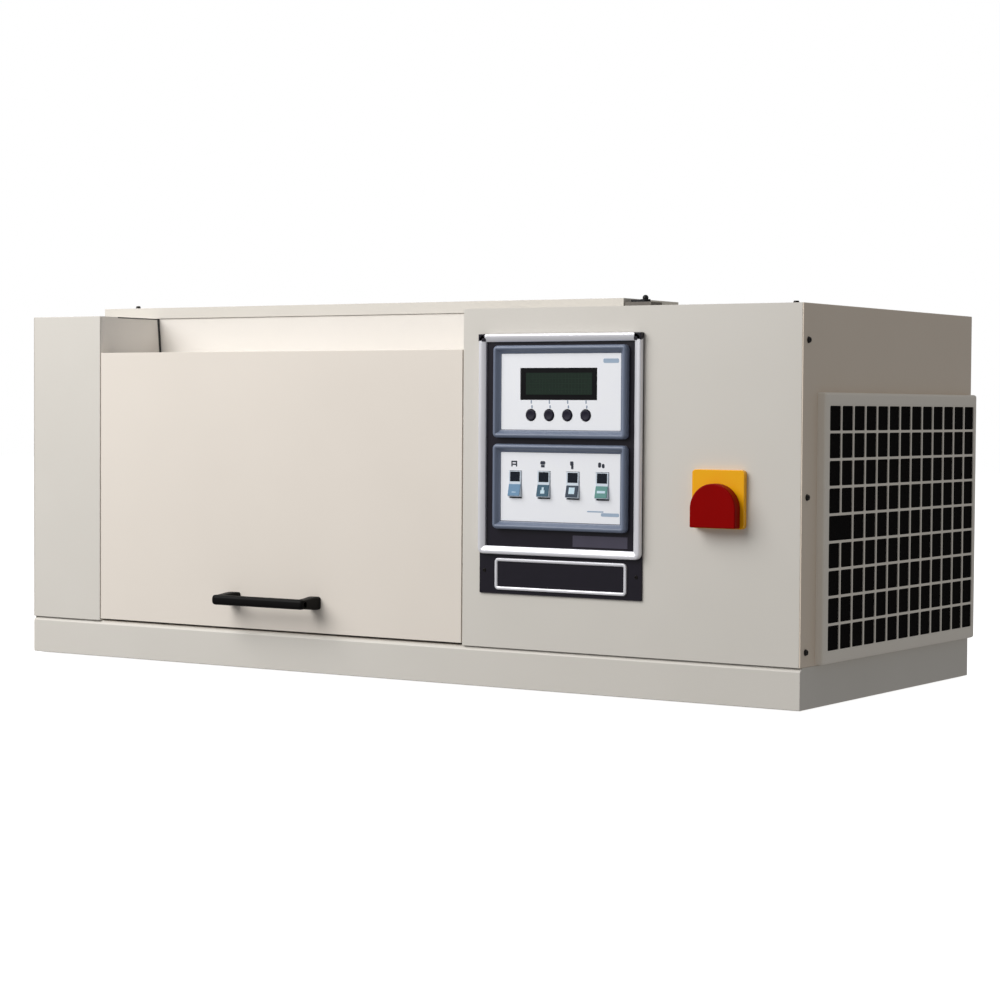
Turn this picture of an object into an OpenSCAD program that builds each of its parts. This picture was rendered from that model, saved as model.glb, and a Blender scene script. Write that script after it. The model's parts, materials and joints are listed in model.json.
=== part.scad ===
// Bench-top light exposure test chamber: a sheet-steel cabinet with a flap door onto a
// lamp-lit test space on the left and a control bay on the right.
// Millimetres. +X is to the right, +Y to the back, +Z up. The origin is on the
// ground under the middle of the cabinet.

/* [Cabinet] */
// Overall width of the cabinet
body_w = 1042; // [868:1:1250]
// Overall depth of the cabinet
body_d = 425; // [354:1:510]
// Height of the cabinet without the lamp cover
body_h = 410; // [342:1:492]
// Thickness of the painted sheet steel
sheet = 1.5; // [1.2:0.1:2]
// Height of the plinth with its feet
base_h = 45; // [38:1:54]
// Bevel along the top front edge of the plinth
base_bevel = 4; // [2:0.5:6]
// Width of the ledge turned in along the foot of the plinth
base_ledge = 44; // [37:1:53]
// Height of a rubber foot
foot_h = 2; // [1.5:0.5:4]
// Diameter of a rubber foot
foot_d = 20; // [16:1:24]
// Width of the closed bay left of the door
left_bay_w = 108; // [108:1:130]
// Width of the control bay right of the door
right_bay_w = 408; // [340:1:490]

/* [Recess above the door] */
// Height of the open recess above the door
recess_h = 44; // [37:1:53]
// Depth of the recess at the top
recess_d = 107; // [89:1:128]
// How much deeper the recess is at its floor
recess_slope = 4; // [0:1:8]

/* [Door] */
// Gap around the door
door_gap = 1.6; // [1:0.1:2]
// Gap under the door
door_foot_gap = 2.5; // [2:0.5:4]
// Thickness of the door
door_t = 20; // [17:1:22]
// Depth of the hinge axis behind the door's face
hinge_back = 9; // [8:0.5:10]
// Drop of the hinge axis below the door's top edge
hinge_drop = 9; // [8:0.5:10]
// Diameter of a hinge pin
hinge_pin_d = 6; // [5:0.5:7]
// Length of the handle
handle_w = 132; // [110:1:158]
// Height of the handle's bar
handle_bar_h = 11.5; // [9.5:0.5:14]
// Height of the handle's feet
handle_foot_h = 15; // [13:0.5:18]
// How far the handle stands out
handle_reach = 35; // [30:1:42]
// Thickness of the handle's bar
handle_bar_t = 9; // [7:0.5:11]
// Height of the handle above the door's lower edge
handle_rise = 34; // [29:1:41]
// Thickness of the door seal
gasket_t = 3; // [2:0.5:4]

/* [Test chamber] */
// Gap between the chamber's side and the bay's wall
chamber_side_gap = 14; // [12:1:17]
// Height of the chamber's floor above the plinth
chamber_floor_rise = 15; // [13:1:18]
// Height of the lamp space above the chamber
lamp_space_h = 94; // [88:1:110]
// Space behind the chamber
chamber_back_gap = 33; // [28:1:40]
// Thickness of the stainless lining
liner_t = 1.5; // [1.2:0.1:2]
// Width of the ceiling on each side of the filter glass
filter_side = 34; // [28:1:41]
// Depth of the window in the chamber's ceiling
filter_d = 210; // [175:1:250]
// Thickness of the filter glass
filter_t = 5; // [4:0.5:6]

/* [Lamp] */
// Depth of the lamp's centre line behind the front
lamp_back = 190; // [165:1:210]
// Height of the lamp above the chamber's ceiling
lamp_rise = 44; // [38:1:50]
// Diameter of the lamp's tube
lamp_d = 12; // [10:1:15]
// Gap between a lamp cap and the end of the reflector
lamp_end_gap = 30; // [25:1:36]
// Diameter of a lamp cap
lamp_cap_d = 20; // [17:1:24]
// Length of a lamp cap
lamp_cap_len = 26; // [22:1:30]
// Thickness of a lamp holder's wall
holder_wall = 6; // [5:0.5:7]
// Room above the lamp holders inside the reflector
lamp_head_room = 8; // [6:0.5:10]
// Width of the reflector's flat top
reflector_top_w = 90; // [75:1:108]

/* [Lamp cover] */
// Distance from the left side to the lamp cover
cover_left = 20; // [17:1:24]
// How far the cover runs over the control bay
cover_over_bay = 138; // [115:1:166]
// Depth of the lamp cover
cover_d = 122; // [102:1:146]
// Height of the lamp cover
cover_h = 13.5; // [12:0.5:16]
// Diameter of a cover hinge pin
cover_pin_d = 3; // [2.5:0.5:4]
// Width of the landing around the lamp opening
cover_land = 26; // [22:1:31]

/* [Control panel] */
// Distance from the door bay to the black panel
panel_left = 23.5; // [20:0.5:28]
// Width of the black panel
panel_w = 202; // [190:1:243]
// Share of the spare height that is under the panel
panel_lift = 0.68; // [0.5:0.01:0.8]
// Thickness of the black panel
panel_t = 2; // [1.5:0.5:3]
// Width of the silver frame's sides
frame_bar = 9; // [7:0.5:10]
// Width of the silver frame's lower bar
frame_foot_bar = 6; // [5:0.5:8]
// How far the silver frame stands out of the panel
frame_t = 5; // [4:0.5:7]
// Height of the upper bezel
upper_bezel_h = 98.5; // [94:0.5:112]
// Height of the lower bezel
lower_bezel_h = 91; // [86:0.5:104]
// Distance from the panel's left side to the bezels
bezel_left = 19.5; // [16:0.5:23]
// Distance from the bezels to the panel's right side
bezel_right = 16.5; // [14:0.5:19]
// Height of the black strip under the lower bezel
strip_h = 21.4; // [18:0.1:26]
// Gap between the two bezels
bezel_gap = 6.5; // [5:0.5:8]
// Distance from the upper bezel to the panel's top
bezel_top = 12.5; // [11:0.5:15]
// Width of a bezel's rim
bezel_rim = 8.5; // [7:0.5:10]
// How far a bezel stands out of the panel
bezel_t = 7; // [5:0.5:9]
// Depth of an instrument behind the panel
instrument_depth = 34; // [28:1:41]
// Thickness of a fascia
fascia_t = 2; // [1.5:0.5:3]
// Width of the display window
display_w = 95.5; // [88:0.5:105]
// Height of the display window
display_h = 34; // [30:0.5:38]
// Display centre's distance above the upper bezel's foot
display_rise = 57.5; // [55:0.5:60]
// Diameter of a round key
key_d = 12; // [10:0.5:13]
// Distance between keys
key_pitch = 22.7; // [19:0.1:26]
// Key centre's distance above the upper bezel's foot
key_rise = 24.5; // [22:0.5:27]
// Travel of a round key
key_travel = 0.8; // [0.5:0.1:1.2]
// Width of a rocker switch
rocker_w = 15; // [13:0.5:17]
// Height of a rocker switch
rocker_h = 27.5; // [25:0.5:30]
// Distance between rocker switches
rocker_pitch = 36.1; // [31:0.1:38]
// Rocker centre's distance above the lower bezel's foot
rocker_rise = 48; // [44:0.5:52]
// Angle between a rocker switch's two positions
rocker_throw = 14; // [10:1:16]
// Width of the nameplate
nameplate_w = 164; // [150:1:175]
// Height of the nameplate
nameplate_h = 34; // [30:1:36]
// Width of the nameplate's rim
nameplate_edge = 3.5; // [3:0.5:5]
// Space above and below the nameplate
nameplate_margin = 4.3; // [3:0.1:5]

/* [Mains isolator] */
// Side of the yellow isolator plate
isolator_side = 60; // [55:1:64]
// Thickness of the yellow plate
isolator_plate_t = 6; // [5:0.5:8]
// Height of the isolator's centre above the plinth
isolator_rise = 167; // [140:1:200]
// Diameter of the red knob
isolator_knob_d = 52; // [46:1:54]
// How far the red knob stands out of its plate
isolator_knob_t = 12; // [10:0.5:16]
// Drop of the knob's round top below the plate's centre
isolator_knob_drop = 10; // [8:0.5:12]
// Diameter of the isolator's shaft
isolator_shaft_d = 8; // [7:0.5:9]
// Side of the isolator's switch body
isolator_body_side = 48; // [40:1:57]
// Depth of the isolator's switch body
isolator_body_depth = 45; // [38:1:54]

/* [Side grille] */
// Distance from the front to the grille's frame
grille_front = 33; // [28:1:41]
// Distance from the back to the grille's frame
grille_back = 5; // [4:1:8]
// Height of the grille
grille_h = 275; // [229:1:277]
// Width of the grille's front and back borders
grille_frame = 9; // [8:0.5:12]
// Height of the grille's top and bottom borders
grille_border = 13.5; // [11:0.5:16]
// Width of a grille bar
grille_bar = 2.6; // [2.2:0.1:3.2]
// Thickness of the grille
grille_t = 10; // [8:0.5:12]
// Openings from front to back
grille_columns = 13; // [11:1:15]
// Openings from top to bottom
grille_rows = 9; // [7:1:11]
// Thickness of the filter pad behind the wall
pad_t = 10; // [8:0.5:12]

/* [Air movers] */
// Side of the cooling fan's square frame
fan_side = 150; // [140:1:172]
// Thickness of the cooling fan
fan_t = 38; // [32:1:45]
// Diameter of the cooling fan's hub
fan_hub_d = 64; // [54:1:76]
// Blades on the cooling fan
fan_blades = 5; // [4:1:7]
// Outer diameter of the circulation blower
blower_d = 150; // [126:1:160]
// Width of the circulation blower's housing
blower_w = 50; // [44:1:52]
// Diameter of the blower's wheel
wheel_d = 110; // [92:1:120]
// Blades on the blower's wheel
wheel_blades = 12; // [8:1:16]
// Diameter of the blower's motor
motor_d = 84; // [70:1:100]
// Length of the blower's motor
motor_len = 38; // [32:1:42]
// Diameter of the motor's shaft
motor_shaft_d = 8; // [6:0.5:10]
// Diameter of the air hole into the chamber
air_hole_d = 70; // [58:1:80]

/* [Specimen tray] */
// Space in front of the specimen tray inside the chamber
tray_front_gap = 74; // [62:1:88]
// Height of the specimen tray's rim
tray_h = 16; // [13:1:19]
// Height of the tray's runners above the chamber's floor
runner_rise = 10; // [8:1:12]

/* [Clearances] */
// Gap between parts that only stand next to each other
fit_gap = 0.3; // [0.2:0.05:0.5]
// Gap around parts that move in openings
running_gap = 0.6; // [0.4:0.1:1]
// Radial clearance of a shaft in its bearing
bearing_gap = 0.08; // [0.05:0.01:0.1]

/* [Hidden] */
$fn = 64;

// Positions along X
door_x0 = left_bay_w;
door_x1 = body_w - right_bay_w;
door_mid = (door_x0 + door_x1) / 2;
liner_x0 = door_x0 + chamber_side_gap;
liner_x1 = door_x1 - chamber_side_gap;
panel_x0 = door_x1 + panel_left;
panel_x1 = panel_x0 + panel_w;
bezel_x0 = panel_x0 + bezel_left;
bezel_x1 = panel_x1 - bezel_right;
isolator_x = (panel_x1 + body_w) / 2 - 0.5;
filter_w = liner_x1 - liner_x0 - 2 * filter_side;
cover_x1 = door_x1 + cover_over_bay;

// Positions along Y
jamb_back = door_t + gasket_t + fit_gap;
liner_y0 = jamb_back + sheet;
liner_y1 = body_d - chamber_back_gap;
cover_y0 = recess_d - sheet;
cover_y1 = cover_y0 + cover_d;
cover_axis_y = cover_y1 + 4;

// Positions along Z
door_top = body_h - recess_h;
door_foot = base_h + door_foot_gap;
liner_z0 = base_h + chamber_floor_rise;
liner_z1 = door_top - lamp_space_h;
hinge_z = door_top - hinge_drop;
lamp_z = liner_z1 + lamp_rise;
cover_top = body_h + cover_h;
cover_axis_z = body_h + 4.5;
frame_rise = nameplate_h + 2 * nameplate_margin;
lower_bezel_rise = frame_rise + frame_foot_bar + strip_h;
upper_bezel_rise = lower_bezel_rise + lower_bezel_h + bezel_gap;
panel_h = upper_bezel_rise + upper_bezel_h + bezel_top;
panel_z0 = base_h + (body_h - base_h - panel_h) * panel_lift;
panel_z1 = panel_z0 + panel_h;
frame_z0 = panel_z0 + frame_rise;
upper_z0 = panel_z0 + upper_bezel_rise;
lower_z0 = panel_z0 + lower_bezel_rise;
display_z = upper_z0 + display_rise;
key_z = upper_z0 + key_rise;
rocker_z = lower_z0 + rocker_rise;
isolator_z = base_h + isolator_rise;
handle_z = door_foot + handle_rise;
grille_z0 = base_h + 1;
grille_z1 = grille_z0 + grille_h;

// Everything below is drawn from the cabinet's front left lower corner
module from_corner() {
    translate([-body_w / 2, -body_d / 2, 0]) children();
}

// A box between two opposite corners
module block(low, high) {
    translate(low) cube(high - low);
}

// A flat outline with round corners, between two corners
module round_outline(low, high, r) {
    translate([low[0] + r, low[1]]) square([high[0] - low[0] - 2 * r, high[1] - low[1]]);
    translate([low[0], low[1] + r]) square([high[0] - low[0], high[1] - low[1] - 2 * r]);
    for (x = [low[0] + r, high[0] - r], z = [low[1] + r, high[1] - r])
        translate([x, z]) circle(r = r);
}

// An upright plate with round corners: low and high are X and Z, front and back are Y
module front_plate(low, high, front, back, r) {
    translate([0, back, 0]) rotate([90, 0, 0])
        linear_extrude(back - front) round_outline(low, high, r);
}

// Round bars along each axis, from a point
module bar_x(at, d, length) {
    translate(at) rotate([0, 90, 0]) cylinder(d = d, h = length);
}
module bar_y(at, d, length) {
    translate(at) rotate([-90, 0, 0]) cylinder(d = d, h = length);
}
module bar_z(at, d, length) {
    translate(at) cylinder(d = d, h = length);
}

paint = "#DDD6CA";
stainless = "#C9CCCE";
black = "#15151A";
yellow = "#E39A14";
red = "#8E0B06";
silver = "#C8CACC";

// Extrudes an outline drawn in Y and Z from one X to another
module along_x(x0, x1) {
    translate([x0, 0, 0]) rotate([90, 0, 90]) linear_extrude(x1 - x0) children();
}

// ---- Cabinet -------------------------------------------------------------------

base_strap_w = 40;

// Folded pan with a deck on top, skirts all round, and a ledge and a middle strap for the feet
module base_plinth() {
    inner_bevel = base_bevel + sheet * (sqrt(2) - 1);
    color(paint) from_corner() difference() {
        along_x(0, body_w) polygon([
            [0, foot_h], [body_d, foot_h], [body_d, base_h],
            [base_bevel, base_h], [0, base_h - base_bevel]
        ]);
        along_x(sheet, body_w - sheet) polygon([
            [sheet, foot_h + sheet], [body_d - sheet, foot_h + sheet],
            [body_d - sheet, base_h - sheet], [inner_bevel, base_h - sheet],
            [sheet, base_h - inner_bevel]
        ]);
        for (side = [0, 1])
            block([side == 0 ? base_ledge : (body_w + base_strap_w) / 2, base_ledge, 0],
                  [side == 0 ? (body_w - base_strap_w) / 2 : body_w - base_ledge,
                   body_d - base_ledge, foot_h + 2 * sheet]);
    }
}

module rubber_feet() {
    inset = base_ledge - foot_d / 2 - 2;
    color(black) from_corner()
        for (x = [inset, body_w / 2, body_w - inset], y = [inset, body_d / 2, body_d - inset])
            if (y != body_d / 2 || x == body_w / 2) bar_z([x, y, 0], foot_d, foot_h);
}

module left_side_panel() {
    color(paint) from_corner() block([0, 0, base_h], [sheet, body_d, body_h]);
}

// Side wall with a large air opening behind the grille
module right_side_panel() {
    color(paint) from_corner() difference() {
        block([body_w - sheet, 0, base_h], [body_w, body_d, body_h]);
        block([body_w - 2 * sheet, grille_front + grille_frame, grille_z0 + grille_border],
              [body_w + sheet, body_d - grille_back - grille_frame, grille_z1 - grille_border]);
    }
}

// Back wall with the air outlet slots and the hole for the cable gland
outlet_slots = 9;
outlet_pitch = 12;
outlet_slot_w = 70;
outlet_slot_h = 5;
gland_x = body_w - 80;
gland_z = base_h + 45;
gland_hole_d = 20;
gland_bore_d = 12;
gland_nut_d = 28;
gland_out = 18;
gland_in = 6;

module rear_panel() {
    slots_x0 = left_bay_w / 2 - outlet_slot_w / 2;
    slots_z0 = body_h - 160;
    color(paint) from_corner() difference() {
        block([sheet, body_d - sheet, base_h], [body_w - sheet, body_d, body_h]);
        for (n = [0:outlet_slots - 1])
            translate([slots_x0, body_d - 2 * sheet, slots_z0 + n * outlet_pitch])
                cube([outlet_slot_w, 3 * sheet, outlet_slot_h]);
        bar_y([gland_x, body_d - 2 * sheet, gland_z], gland_hole_d + 2 * fit_gap, 3 * sheet);
    }
}

// Boss that carries a door hinge pin on the blind side of a jamb
boss_d = 14;
boss_t = 5;

module front_left_panel() {
    color(paint) from_corner() difference() {
        union() {
            block([sheet, 0, base_h], [left_bay_w, sheet, body_h]);
            block([left_bay_w - sheet, sheet, base_h],
                  [left_bay_w, jamb_back, door_top - sheet]);
            bar_x([left_bay_w - sheet - boss_t, hinge_back, hinge_z], boss_d, boss_t);
        }
        bar_x([left_bay_w - sheet - boss_t - 1, hinge_back, hinge_z],
              hinge_pin_d + 2 * bearing_gap, boss_t + sheet + 2);
    }
}

module instrument_opening(z0, h, margin) {
    block([bezel_x0 + bezel_rim + margin, -panel_t - 1, z0 + bezel_rim + margin],
          [bezel_x1 - bezel_rim - margin, sheet + 1, z0 + h - bezel_rim - margin]);
}

fascia_seat = 5;
isolator_bush_d = 20;

module front_right_panel() {
    color(paint) from_corner() difference() {
        union() {
            block([door_x1, 0, base_h], [body_w - sheet, sheet, body_h]);
            block([door_x1, sheet, base_h], [door_x1 + sheet, jamb_back, door_top - sheet]);
            bar_x([door_x1 + sheet, hinge_back, hinge_z], boss_d, boss_t);
        }
        bar_x([door_x1 - 1, hinge_back, hinge_z],
              hinge_pin_d + 2 * bearing_gap, boss_t + sheet + 2);
        instrument_opening(upper_z0, upper_bezel_h, fascia_seat);
        instrument_opening(lower_z0, lower_bezel_h, fascia_seat);
        bar_y([isolator_x, -1, isolator_z], isolator_bush_d + 2 * fit_gap, sheet + 2);
    }
}

// Top wall, cut out for the recess and for the lamp opening under the cover
module top_panel() {
    color(paint) from_corner() difference() {
        block([sheet, sheet, body_h - sheet], [body_w - sheet, body_d - sheet, body_h]);
        block([door_x0 - sheet, 0, body_h - 2 * sheet],
              [door_x1 + sheet, recess_d + sheet + fit_gap, body_h + sheet]);
        block([cover_left + cover_land, cover_y0 + cover_land, body_h - 2 * sheet],
              [cover_x1 - cover_land, cover_y1 - cover_land, body_h + sheet]);
    }
}

// Folded pocket above the door: floor, sloping back and two cheeks
module top_recess() {
    floor_back = recess_d + recess_slope;
    color("#F1EDE2") from_corner() {
        along_x(door_x0, door_x1) polygon([
            [jamb_back, door_top - sheet], [floor_back + sheet, door_top - sheet],
            [recess_d + sheet, body_h], [recess_d, body_h],
            [floor_back, door_top], [jamb_back, door_top]
        ]);
        for (x = [door_x0 - sheet, door_x1])
            along_x(x, x + sheet) polygon([
                [sheet, door_top - sheet], [floor_back + sheet, door_top - sheet],
                [recess_d + sheet, body_h], [sheet, body_h]
            ]);
    }
}

// ---- Test chamber --------------------------------------------------------------

module chamber_front_frame() {
    color(paint) from_corner() difference() {
        block([door_x0, jamb_back, base_h], [door_x1, liner_y0, door_top - sheet]);
        block([liner_x0 + liner_t, jamb_back - 1, liner_z0 + liner_t],
              [liner_x1 - liner_t, liner_y0 + 1, liner_z1 - liner_t]);
    }
}

blower_y = (liner_y0 + liner_y1) / 2 + 20;
blower_z = (liner_z0 + liner_z1) / 2;
filter_seat = 8;

module chamber_liner() {
    color(stainless) from_corner() difference() {
        block([liner_x0, liner_y0, liner_z0], [liner_x1, liner_y1, liner_z1]);
        block([liner_x0 + liner_t, liner_y0 - 1, liner_z0 + liner_t],
              [liner_x1 - liner_t, liner_y1 - liner_t, liner_z1 - liner_t]);
        block([door_mid - filter_w / 2 + filter_seat, lamp_back - filter_d / 2 + filter_seat,
               liner_z1 - 2 * liner_t],
              [door_mid + filter_w / 2 - filter_seat, lamp_back + filter_d / 2 - filter_seat,
               liner_z1 + liner_t]);
        bar_x([liner_x0 - 1, blower_y, blower_z], air_hole_d, liner_t + 2);
    }
}

// Wall between the test side and the control bay
module bay_partition() {
    color(paint) from_corner() difference() {
        block([door_x1, jamb_back, base_h],
              [door_x1 + sheet, body_d - sheet, body_h - sheet]);
        block([door_x1 - 1, jamb_back - 1, door_top - sheet],
              [door_x1 + sheet + 1, recess_d + recess_slope + sheet + fit_gap, body_h]);
    }
}

module filter_glass() {
    color("#DDE6EE", 0.4) from_corner()
        block([door_mid - filter_w / 2, lamp_back - filter_d / 2, liner_z1],
              [door_mid + filter_w / 2, lamp_back + filter_d / 2, liner_z1 + filter_t]);
}

reflector_t = 1;
reflector_gap = 6;
reflector_steps = 8;
reflector_h = lamp_rise + lamp_cap_d / 2 + holder_wall + lamp_head_room;
// Half the trough's width at a share of its height, on a parabola
function trough(share, thick) = sqrt(
    pow(reflector_top_w / 2 - thick, 2)
    + (pow(filter_d / 2 + reflector_gap + reflector_t - thick, 2)
       - pow(reflector_top_w / 2 - thick, 2)) * (1 - share)
);
function trough_outline(thick) = [
    for (n = [0:reflector_steps])
        [lamp_back - trough(n / reflector_steps, thick),
         liner_z1 + (reflector_h - thick) * n / reflector_steps],
    for (n = [reflector_steps:-1:0])
        [lamp_back + trough(n / reflector_steps, thick),
         liner_z1 + (reflector_h - thick) * n / reflector_steps]
];
reflector_half = filter_w / 2 + reflector_gap;
lamp_len = 2 * (reflector_half - lamp_end_gap - lamp_cap_len);

// Polished trough over the lamp, closed at its ends
module lamp_reflector() {
    color("#E4E7EA") from_corner() difference() {
        along_x(door_mid - reflector_half - reflector_t, door_mid + reflector_half + reflector_t)
            polygon(trough_outline(0));
        along_x(door_mid - reflector_half, door_mid + reflector_half)
            polygon(trough_outline(reflector_t));
        block([door_mid - reflector_half, lamp_back - filter_d / 2 - reflector_gap,
               liner_z1 - 1],
              [door_mid + reflector_half, lamp_back + filter_d / 2 + reflector_gap,
               liner_z1 + fit_gap]);
    }
}

// Quartz tube between two metal caps
module xenon_lamp() {
    tube_x0 = door_mid - lamp_len / 2;
    color("#E8F1FA") from_corner() {
        bar_x([tube_x0, lamp_back, lamp_z], lamp_d, lamp_len);
        bar_x([tube_x0 - lamp_cap_len, lamp_back, lamp_z], lamp_cap_d, lamp_cap_len);
        bar_x([tube_x0 + lamp_len, lamp_back, lamp_z], lamp_cap_d, lamp_cap_len);
    }
}

// Ceramic blocks on the reflector's ends, bored for the lamp caps
module lamp_holders() {
    cap_end = lamp_len / 2 + lamp_cap_len;
    side = lamp_cap_d / 2 + holder_wall;
    color("#EDE9DF") from_corner()
        for (way = [-1, 1]) {
            inner = door_mid + way * (cap_end - lamp_cap_len / 2);
            outer = door_mid + way * reflector_half;
            difference() {
                block([min(inner, outer), lamp_back - side, lamp_z - side],
                      [max(inner, outer), lamp_back + side, lamp_z + side]);
                bar_x([min(inner, door_mid + way * cap_end) - 1, lamp_back, lamp_z],
                      lamp_cap_d + 2 * fit_gap, lamp_cap_len / 2 + 1 + fit_gap);
            }
        }
}

runner_w = 12;
runner_t = 2;
runner_z = liner_z0 + liner_t + runner_rise;

module tray_runners() {
    color(stainless) from_corner()
        for (x = [liner_x0 + liner_t, liner_x1 - liner_t - runner_w])
            block([x, liner_y0 + 2, runner_z],
                  [x + runner_w, liner_y1 - liner_t, runner_z + runner_t]);
}

sensor_rise = 34;
sensor_rod_d = 6;

// Black plate thermometer on a rod from the back wall, and a light sensor on the side wall
module chamber_sensors() {
    plate_z = runner_z + sensor_rise;
    back = liner_y1 - liner_t;
    side = liner_x1 - liner_t;
    color(black) from_corner() {
        bar_y([door_mid, back - 60, plate_z], sensor_rod_d, 60);
        block([door_mid - 20, back - 120, plate_z - 1], [door_mid + 20, back - 50, plate_z + 1]);
        bar_x([side - 14, lamp_back, plate_z + 20], 24, 14);
        translate([side - 14, lamp_back, plate_z + 20]) sphere(d = 14);
    }
}

// Light pan that carries the specimens on the runners
module specimen_tray() {
    x0 = liner_x0 + liner_t + running_gap;
    x1 = liner_x1 - liner_t - running_gap;
    y1 = liner_y1 - liner_t - running_gap;
    y0 = liner_y0 + tray_front_gap;
    z0 = runner_z + runner_t + fit_gap;
    tray_t = 1.5;
    grip = 6;
    color(stainless) from_corner() {
        difference() {
            block([x0, y0, z0], [x1, y1, z0 + tray_h]);
            block([x0 + tray_t, y0 + tray_t, z0 + tray_t],
                  [x1 - tray_t, y1 - tray_t, z0 + tray_h + 1]);
        }
        block([door_mid - 40, y0 - grip, z0 + tray_h - tray_t],
              [door_mid + 40, y0, z0 + tray_h]);
    }
}

// ---- Air movers ----------------------------------------------------------------

housing_t = 2;
housing_x0 = liner_x0 - blower_w;
spout_w = 44;
spout_rise = 18;
wheel_gap = 4;
hub_d = 20;
blade_depth = 13;

module blower_outline(inset) {
    spout_y1 = blower_y + blower_d / 2;
    bar_x([housing_x0 + inset, blower_y, blower_z], blower_d - 2 * inset, blower_w - 2 * inset);
    block([housing_x0 + inset, spout_y1 - spout_w + inset, blower_z],
          [liner_x0 - inset, spout_y1 - inset,
           blower_z + blower_d / 2 + spout_rise + (inset > 0 ? 1 : 0)]);
}

// Drum housing with an upward spout, open to the chamber through its side
module blower_housing() {
    color("#3A3D42") from_corner() difference() {
        blower_outline(0);
        blower_outline(housing_t);
        bar_x([liner_x0 - 2 * housing_t, blower_y, blower_z], air_hole_d, 3 * housing_t);
        bar_x([housing_x0 - 1, blower_y, blower_z], motor_shaft_d + 2, housing_t + 2);
    }
}

wheel_x0 = housing_x0 + housing_t + wheel_gap;
wheel_x1 = liner_x0 - housing_t - wheel_gap;

module blower_motor() {
    color("#6D7278") from_corner() {
        bar_x([housing_x0 - motor_len, blower_y, blower_z], motor_d, motor_len);
        bar_x([housing_x0 - 1, blower_y, blower_z], motor_shaft_d, wheel_x1 - housing_x0 + 1);
    }
}

// Squirrel-cage wheel: hub, back disc, blades and front ring
module blower_wheel() {
    wheel_t = 1.5;
    length = wheel_x1 - wheel_x0;
    color("#2B2D31") from_corner() difference() {
        union() {
            bar_x([wheel_x0, blower_y, blower_z], wheel_d, wheel_t);
            bar_x([wheel_x0, blower_y, blower_z], hub_d, length);
            difference() {
                bar_x([wheel_x1 - wheel_t, blower_y, blower_z], wheel_d, wheel_t);
                bar_x([wheel_x1 - 2 * wheel_t, blower_y, blower_z],
                      wheel_d - 2 * blade_depth, 3 * wheel_t);
            }
            for (n = [0:wheel_blades - 1])
                translate([wheel_x0, blower_y, blower_z])
                    rotate([n * 360 / wheel_blades, 0, 0])
                        translate([0, wheel_d / 2 - blade_depth, -wheel_t / 2])
                            cube([length, blade_depth - 1, wheel_t]);
        }
        bar_x([wheel_x0 - 1, blower_y, blower_z],
              motor_shaft_d + 2 * bearing_gap, length + 2);
    }
}

fan_x1 = body_w - sheet - pad_t;
fan_x0 = fan_x1 - fan_t;
fan_y = (grille_front + body_d - grille_back) / 2;
fan_z = (grille_z0 + grille_z1) / 2;
fan_wall = 3.5;
fan_spoke = 5;
fan_pin_d = 6;
fan_boss_t = 6;
fan_bore_d = fan_side - 2 * fan_wall;

// Square frame with a round duct, a spider that holds the axle, and two feet on the deck
module fan_frame() {
    low = fan_z - fan_side / 2;
    color("#22242A") from_corner() {
        difference() {
            union() {
                block([fan_x0, fan_y - fan_side / 2, low],
                      [fan_x1, fan_y + fan_side / 2, fan_z + fan_side / 2]);
                for (y = [fan_y - fan_side / 2 + 10, fan_y + fan_side / 2 - 30])
                    block([fan_x0 + 1, y, base_h], [fan_x0 + 5, y + 20, low + 2]);
            }
            bar_x([fan_x0 - 1, fan_y, fan_z], fan_bore_d, fan_t + 2);
        }
        for (turn = [0, 90])
            translate([fan_x0 + fan_spoke / 2 + 0.5, fan_y, fan_z]) rotate([turn, 0, 0])
                cube([fan_spoke, fan_bore_d + 2, fan_spoke], center = true);
        bar_x([fan_x0, fan_y, fan_z], fan_hub_d, fan_boss_t);
        bar_x([fan_x0 + 1, fan_y, fan_z], fan_pin_d, fan_t - 7);
    }
}

module fan_rotor() {
    rotor_x0 = fan_x0 + fan_boss_t + running_gap;
    rotor_t = fan_t - fan_boss_t - 8;
    blade_end = fan_bore_d / 2 - 4;
    blade_w = rotor_t - 4;
    blade_t = 2;
    color("#1B1D22") from_corner() difference() {
        union() {
            bar_x([rotor_x0, fan_y, fan_z], fan_hub_d, rotor_t);
            for (n = [0:fan_blades - 1])
                translate([rotor_x0 + rotor_t / 2, fan_y, fan_z])
                    rotate([n * 360 / fan_blades, 0, 0])
                        translate([0, fan_hub_d / 2 - 3, 0]) rotate([0, 42, 0])
                            translate([-blade_t / 2, 0, -blade_w / 2])
                                cube([blade_t, blade_end - fan_hub_d / 2, blade_w]);
        }
        bar_x([rotor_x0 - 1, fan_y, fan_z], fan_pin_d + 2 * bearing_gap, rotor_t + 2);
    }
}

// ---- Side grille ---------------------------------------------------------------

grille_face_t = 1.5;
grille_rim_t = 2;

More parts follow.
